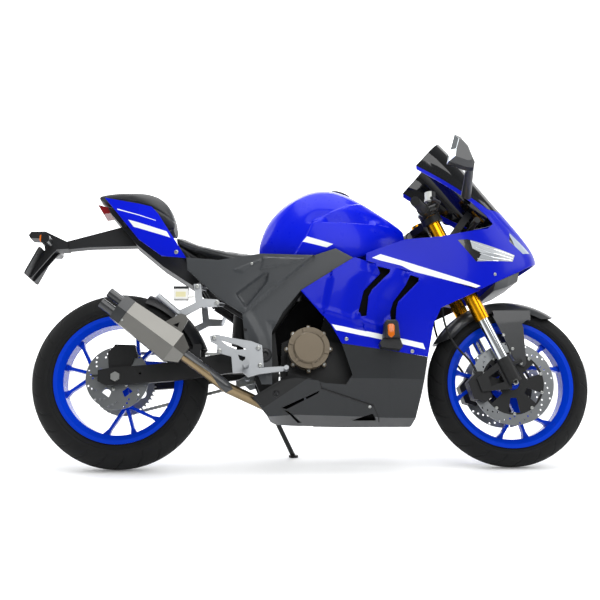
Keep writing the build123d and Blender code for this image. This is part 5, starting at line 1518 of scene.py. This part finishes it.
@dataclass
class DriveChain:
    """The roller chain: pairs of waisted plates on rollers round both sprockets, in upright millimetres."""

    shapes: SmallShapes
    pitch: float = 15.875
    rear_teeth: int = 45
    front_teeth: int = 14
    sprocket: tuple[float, float] = (590.0, 385.0)
    y: float = 84.0
    gap: float = 9.0
    plate: float = 2.2
    height: float = 13.0
    waist: float = 0.33
    end_turns: tuple = (-60, -20, 20, 60)
    roller_radius: float = 5.0
    roller_sides: int = 8
    rear_steps: int = 80
    front_steps: int = 40

    def link(self) -> Mesh:
        """One link about its middle: X along the chain, Z across it."""
        half, round_end = self.pitch / 2, self.height / 2
        outline = []
        for end in (1, -1):
            for turn in self.end_turns:
                angle = math.radians(turn if end > 0 else 180 + turn)
                outline.append((end * half + round_end * math.cos(angle), round_end * math.sin(angle)))
            outline.append((0.0, end * self.height * self.waist))
        points, faces = paired_prisms(tuple(outline), self.gap / 2, self.gap / 2 + self.plate)
        first, sides, radius = len(points), self.roller_sides, self.roller_radius
        turns = [2 * math.pi * k / sides for k in range(sides)]
        for z in (-self.gap / 2, self.gap / 2):
            points += [(half + radius * math.cos(turn), radius * math.sin(turn), z) for turn in turns]
        faces += [(first + k, first + (k + 1) % sides, first + sides + (k + 1) % sides, first + sides + k)
                  for k in range(sides)]
        return mesh_from("chain_link", np.array(points), faces)

    def arc(self, centre: tuple, teeth: int, start: float, sweep: float, steps: int) -> list[Vector]:
        """Side-view points of the pitch line round a sprocket.

        Args:
            centre: the sprocket's middle.
            teeth: how many teeth it has.
            start: the angle of the first point.
            sweep: the angle from the first point to the last.
            steps: how many steps lie between them.

        Returns:
            The points.
        """
        radius = self.pitch_radius(teeth)
        turns = [start + sweep * k / steps for k in range(steps + 1)]
        return [Vector((centre[0] + radius * math.cos(t), centre[1] + radius * math.sin(t))) for t in turns]

    def pitch_radius(self, teeth: int) -> float:
        """The radius at which a sprocket carries the chain's pins."""
        return self.pitch / (2 * math.sin(math.pi / teeth))

    def build(self, shop: Workshop) -> None:
        """Lay the links along the pitch line and let them stand for the CAD chain."""
        run = Vector(self.sprocket) - Vector(REAR_AXLE)
        tilt = math.atan2(run.y, run.x)
        step_down = self.pitch_radius(self.rear_teeth) - self.pitch_radius(self.front_teeth)
        wrap = math.asin(step_down / run.length)
        top, low = math.pi / 2 + tilt - wrap, -math.pi / 2 + tilt + wrap
        line = self.arc(REAR_AXLE, self.rear_teeth, top, 2 * math.pi - (top - low), self.rear_steps)
        line += self.arc(self.sprocket, self.front_teeth, low, top - low, self.front_steps)
        line.append(line[0])
        steps = [0.0]
        for first, second in zip(line, line[1:]):
            steps.append(steps[-1] + (second - first).length)
        count = round(steps[-1] / self.pitch)
        at = np.arange(count + 1) * steps[-1] / count
        pins = np.stack([np.interp(at, steps, [p[axis] for p in line]) for axis in (0, 1)], 1)
        spots = []
        for number, (start, end) in enumerate(zip(pins, pins[1:])):
            (x, z), (ahead, rise) = (start + end) / 2, end - start
            # Every second link has its plates outside its neighbours'
            step_out = 0.0 if number % 2 else self.plate / 2
            spots.append(Spot(shop.bike.point(x, self.y + step_out, z), shop.bike.across,
                              shop.bike.direction(ahead, 0, rise), MM))
        piece = self.shapes.build(
            shop, "roller_chain", self.link(), spots, "zinc_plated_steel", "chassis", "steel")
        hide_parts("chain")


@dataclass
class PrismPair:
    """A small plate on each side, cut to a side-view outline between two half widths."""

    name: str
    outline: tuple
    inner_y: float
    outer_y: float
    finish: str
    slot: str
    edge_round: float = 1.6

    def build(self, shop: Workshop) -> None:
        """Make both plates as one mesh."""
        points, faces = paired_prisms(self.outline, self.inner_y, self.outer_y)
        mesh = mesh_from(self.name, np.array(points, float)[:, [0, 2, 1]], faces)
        mesh.transform(shop.bike.matrix())
        shop.add_piece(self.name, shop.rounded(mesh, self.edge_round), self.finish, "chassis")


@dataclass
class MirrorGlasses:
    """Silvered glass over the mirror heads' rear faces."""

    name: str = "mirror_glasses"
    node: str = "mirrors"
    least_facing: float = 0.55
    from_y: float = 276.0
    rim_mm: float = 4.0
    wall_mm: float = 1.6

    def build(self, shop: Workshop) -> None:
        """Copy the rear faces, draw their edges in and give them a wall."""
        work = shop.welded(self.node)
        back = shop.bike.matrix().inverted()
        behind = shop.bike.direction(-1, 0, 0)
        spare = [face for face in work.faces if face.normal.dot(behind) < self.least_facing
                 or abs((back @ face.calc_center_median()).y) < self.from_y]
        bmesh.ops.delete(work, geom=spare, context="FACES")
        rim = bmesh.ops.inset_region(
            work, faces=work.faces[:], thickness=self.rim_mm / 1000, use_even_offset=True)
        bmesh.ops.delete(work, geom=rim["faces"], context="FACES")

        def setup(carrier: Thing) -> None:
            """Add the wall."""
            wall = carrier.modifiers.new("wall", "SOLIDIFY")
            wall.thickness, wall.offset = self.wall_mm / 1000, 1.0
        mesh = shop.settled(unload(work, bpy.data.meshes.new(self.name)), setup)
        shop.add_piece(self.name, mesh, "silvered_glass", "chassis")


@dataclass
class FlushFuelCap:
    """The filler cap, let almost flush into the tank's top, with its ring of screws, in millimetres."""

    shapes: SmallShapes
    at_x: float = 800.0
    rings: tuple = (
        (40, -16), (40, 2), (38.5, 3.4), (33, 3.4), (32, 1.8), (30.5, 1.8), (29, 3.6), (12, 4.4), (4, 4.6))
    sides: int = 40
    screws: int = 7
    screw_reach: float = 35.8
    screw_seat: float = 3.4
    screw_radius: float = 2.4

    def build(self, shop: Workshop) -> None:
        """Turn the cap, let it stand for the CAD cap and set its screws."""
        place, facing, _, _ = shop.surface("fuel_tank").ray_cast(
            shop.bike.point(self.at_x, 0, FAR_UP), shop.bike.direction(0, 0, -1))
        frame = Matrix.Translation(place) @ facing.to_track_quat("Z", "Y").to_matrix().to_4x4()
        mesh = lathe("flush_fuel_cap", tuple((r / 1000, z / 1000) for r, z in self.rings), self.sides)
        mesh.transform(frame)
        piece = shop.add_piece(
            "flush_fuel_cap", shaded(mesh, sharp_deg=35), "anodised_alloy_controls", "chassis")
        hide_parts("fuel_cap")
        spots = []
        for number in range(self.screws):
            turn, reach = 2 * math.pi * number / self.screws, self.screw_reach
            seat = Vector((reach * math.cos(turn), reach * math.sin(turn), self.screw_seat))
            spots.append(Spot(frame @ (seat / 1000), facing, shop.bike.ahead, self.screw_radius / 1000))
        head = lathe("cap_screw_head", SOCKET_HEAD, HEAD_SIDES)
        self.shapes.build(shop, "fuel_cap_screws", head, spots, "zinc_plated_steel", "chassis", "steel")


@dataclass(frozen=True)
class Softbox:
    """A square softbox: its place and the point it faces, its edge in metres and its power in watts."""

    name: str
    place: tuple[float, float, float]
    aim: tuple[float, float, float]
    size: float
    power: float

    def hang(self) -> None:
        """Hang the light."""
        data = bpy.data.lights.new(self.name, "AREA")
        data.size = self.size
        data.energy = self.power
        light = bpy.data.objects.new(self.name, data)
        bpy.context.scene.collection.objects.link(light)
        light.location = self.place
        light.rotation_euler = (Vector(self.aim) - Vector(self.place)).to_track_quat("-Z", "Y").to_euler()


@dataclass
class Studio:
    """The pale floor, the soft lights and the camera at the photograph's angle, in metres."""

    softboxes: tuple[Softbox, ...] = (
        Softbox("key_softbox", (0.8, -3.2, 3.0), (0.0, 0.0, 0.5), 2.6, 70.0),
        Softbox("front_softbox", (3.6, -0.6, 2.2), (0.4, 0.0, 0.5), 2.0, 35.0),
        Softbox("rear_softbox", (-3.4, 0.8, 2.4), (-0.3, 0.0, 0.6), 2.0, 35.0),
        Softbox("far_softbox", (0.2, 3.4, 2.6), (0.0, 0.0, 0.6), 2.4, 40.0),
        Softbox("top_softbox", (0.0, 0.0, 4.2), (0.0, 0.0, 0.0), 3.4, 150.0),
    )
    sky_strength: float = 0.3
    camera_from_axle: tuple[float, float, float] = (0.5141, -3.21433, 0.24065)
    yaw_deg: float = 2.3
    pitch_deg: float = 0.91
    lens_mm: float = 53.23
    sensor_mm: float = 36.0
    floor_half: float = 14.0
    floor_glow: float = 0.12
    backdrop_at: float = 7.0
    backdrop_foot: float = -1.0
    backdrop_top: float = 9.0
    backdrop_glow: float = 1.0
    sheet_roughness: float = 0.75

    def build(self, shop: Workshop) -> None:
        """Make the floor, the lights, the world and the camera."""
        self.lay_sheets()
        for softbox in self.softboxes:
            softbox.hang()
        world = bpy.data.worlds.new("pale_studio")
        bpy.context.scene.world = world
        world.use_nodes = True
        background = world.node_tree.nodes["Background"]
        background.inputs["Color"].default_value = linear("#ffffff")
        background.inputs["Strength"].default_value = self.sky_strength
        bpy.context.scene.view_settings.view_transform = "Standard"
        data = bpy.data.cameras.new("photo_camera")
        data.lens, data.sensor_width = self.lens_mm, self.sensor_mm
        camera = bpy.data.objects.new("photo_camera", data)
        bpy.context.scene.collection.objects.link(camera)
        camera.location = shop.bike.axle + Vector(self.camera_from_axle)
        camera.rotation_euler = (math.radians(90 + self.pitch_deg), 0.0, math.radians(-self.yaw_deg))
        bpy.context.scene.camera = camera

    def lay_sheets(self) -> None:
        """Make the pale floor under the tyres and the lit backdrop beyond it."""
        half, far, foot, top = self.floor_half, self.backdrop_at, self.backdrop_foot, self.backdrop_top
        for name, corners, glow in (
            ("studio_floor", ((-half, -half, 0), (half, -half, 0), (half, half, 0), (-half, half, 0)),
             self.floor_glow),
            ("studio_backdrop", ((-half, far, foot), (half, far, foot), (half, far, top), (-half, far, top)),
             self.backdrop_glow),
        ):
            mesh = bpy.data.meshes.new(name)
            mesh.from_pydata(corners, [], [(0, 1, 2, 3)])
            sheet = bpy.data.objects.new(name, mesh)
            bpy.context.scene.collection.objects.link(sheet)
            # Matt white paper, lit a little from within so that it stays white behind the bike
            material = bpy.data.materials.new("matt_" + name)
            material.use_nodes = True
            shader = material.node_tree.nodes["Principled BSDF"]
            shader.inputs["Base Color"].default_value = linear("#f8f9fa")
            shader.inputs["Roughness"].default_value = self.sheet_roughness
            shader.inputs["Emission Color"].default_value = linear("#ffffff")
            shader.inputs["Emission Strength"].default_value = glow
            mesh.materials.append(material)


PANELS_AND_TYRES = (
    TreadedTyre("treaded_rear_tyre", "rear_wheel", 0.0, REAR_RADIUS, width=140.0, crown=58.0, rim_half=60.0),
    TreadedTyre("treaded_front_tyre", "front_wheel", WHEELBASE, FRONT_RADIUS, width=110.0, crown=46.0,
                rim_half=46.0),
    PressedPanel(
        "pressed_side_fairings", "side_fairings", "lacquered_abs_blue_fairing", "blue_plastic",
        FAIRING_OUTLINE, VENTS,
        features=(
            Hollow(((906, 688), (918, 664), (859, 602), (840, 530), (848, 505)), -1, 72.0, depth=17.0),
            Hollow(((1022, 656), (1006, 622), (961, 562), (951, 531), (952, 484)), -1, 62.0, depth=17.0),
            Ridge(((700, 540), (901, 479), (960, 470)), reach=14.0, rise=3.5),
            Facet(((742, 640), (722, 540)), -1, rise=-10.0, soft=30.0, reach=400.0),
        ),
    ),
    PressedTank(),
    # The vent liners: a real black part, made near-black so that the vents show painted shade
    PressedPanel("vent_liner_skins", "vent_liners", "black_liner_and_painted_shade", "black_plastic", LINER_OUTLINE,
                 sunk=9.0, smoothing=240),
    # A near-black lining sunk behind the belly's openings: painted shade
    PressedPanel("belly_linings", "belly_pan", "black_liner_and_painted_shade", "black_plastic", BELLY_LINING,
                 sunk=16.0, smoothing=240, stands_for_node=False),
    PressedPanel(
        "pressed_frame_covers", "frame_covers", "moulded_abs_grey", "black_plastic", COVER_OUTLINE,
        features=(
            Facet(COVER_CREASE, -1, rise=11.0, soft=9.0),
            Pocket(COVER_POCKET, depth=12.0, soft=8.0),
            Pocket(SEAT_SIDE_WEDGE, depth=-5.0, soft=5.0),
            Pocket(SEAT_SIDE_PLATE, depth=-3.0, soft=4.0),
            Pocket(PIVOT_FACET, depth=6.0, soft=22.0),
            Ridge(((448, 520), (492, 440), (520, 300)), reach=26.0, rise=4.0),
        ),
        smoothing=20,
        creases=(COVER_CREASE, COVER_POCKET + COVER_POCKET[:1], SEAT_SIDE_WEDGE + SEAT_SIDE_WEDGE[:1]),
    ),
)
SMALL_PLATES = (
    PrismPair(
        "slider_inserts",
        ((932, 470), (937, 476), (951, 476), (956, 470), (955, 438), (944, 428), (933, 438)),
        248.0, 255.0, "amber_acrylic_lens", "amber_lens"),
    # Near-black plates in the bay behind the fairing: painted shade
    PrismPair(
        "bay_plates",
        ((545, 396), (548, 468), (586, 528), (652, 604), (700, 590), (752, 470), (690, 440), (600, 396)),
        52.0, 60.0, "black_liner_and_painted_shade", "black_plastic"),
)


def main() -> None:
    """Build the dressed bike."""
    logging.basicConfig(level=logging.INFO)
    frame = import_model()
    spin = next(joint for joint in frame["joints"] if joint["name"] == "rear_wheel_spin")
    shop = Workshop(frame, ParkedBike(Vector(spin["pos_m"]), Vector(spin["axis"]).normalized()))
    Studio().build(shop)
    shop.dress_nodes()
    for part in PANELS_AND_TYRES:
        part.build(shop)
    shapes = SmallShapes(scatter_tree())
    for part in (Fasteners(shapes), DriveChain(shapes), FlushFuelCap(shapes), MirrorGlasses(),
                 Beading(piping_tree()), *SMALL_PLATES):
        part.build(shop)
    for node in ("rider_seat", "pillion_seat"):
        StuffedSeat("stuffed_" + node, node).build(shop, shapes)


if __name__ == "__main__":
    main()
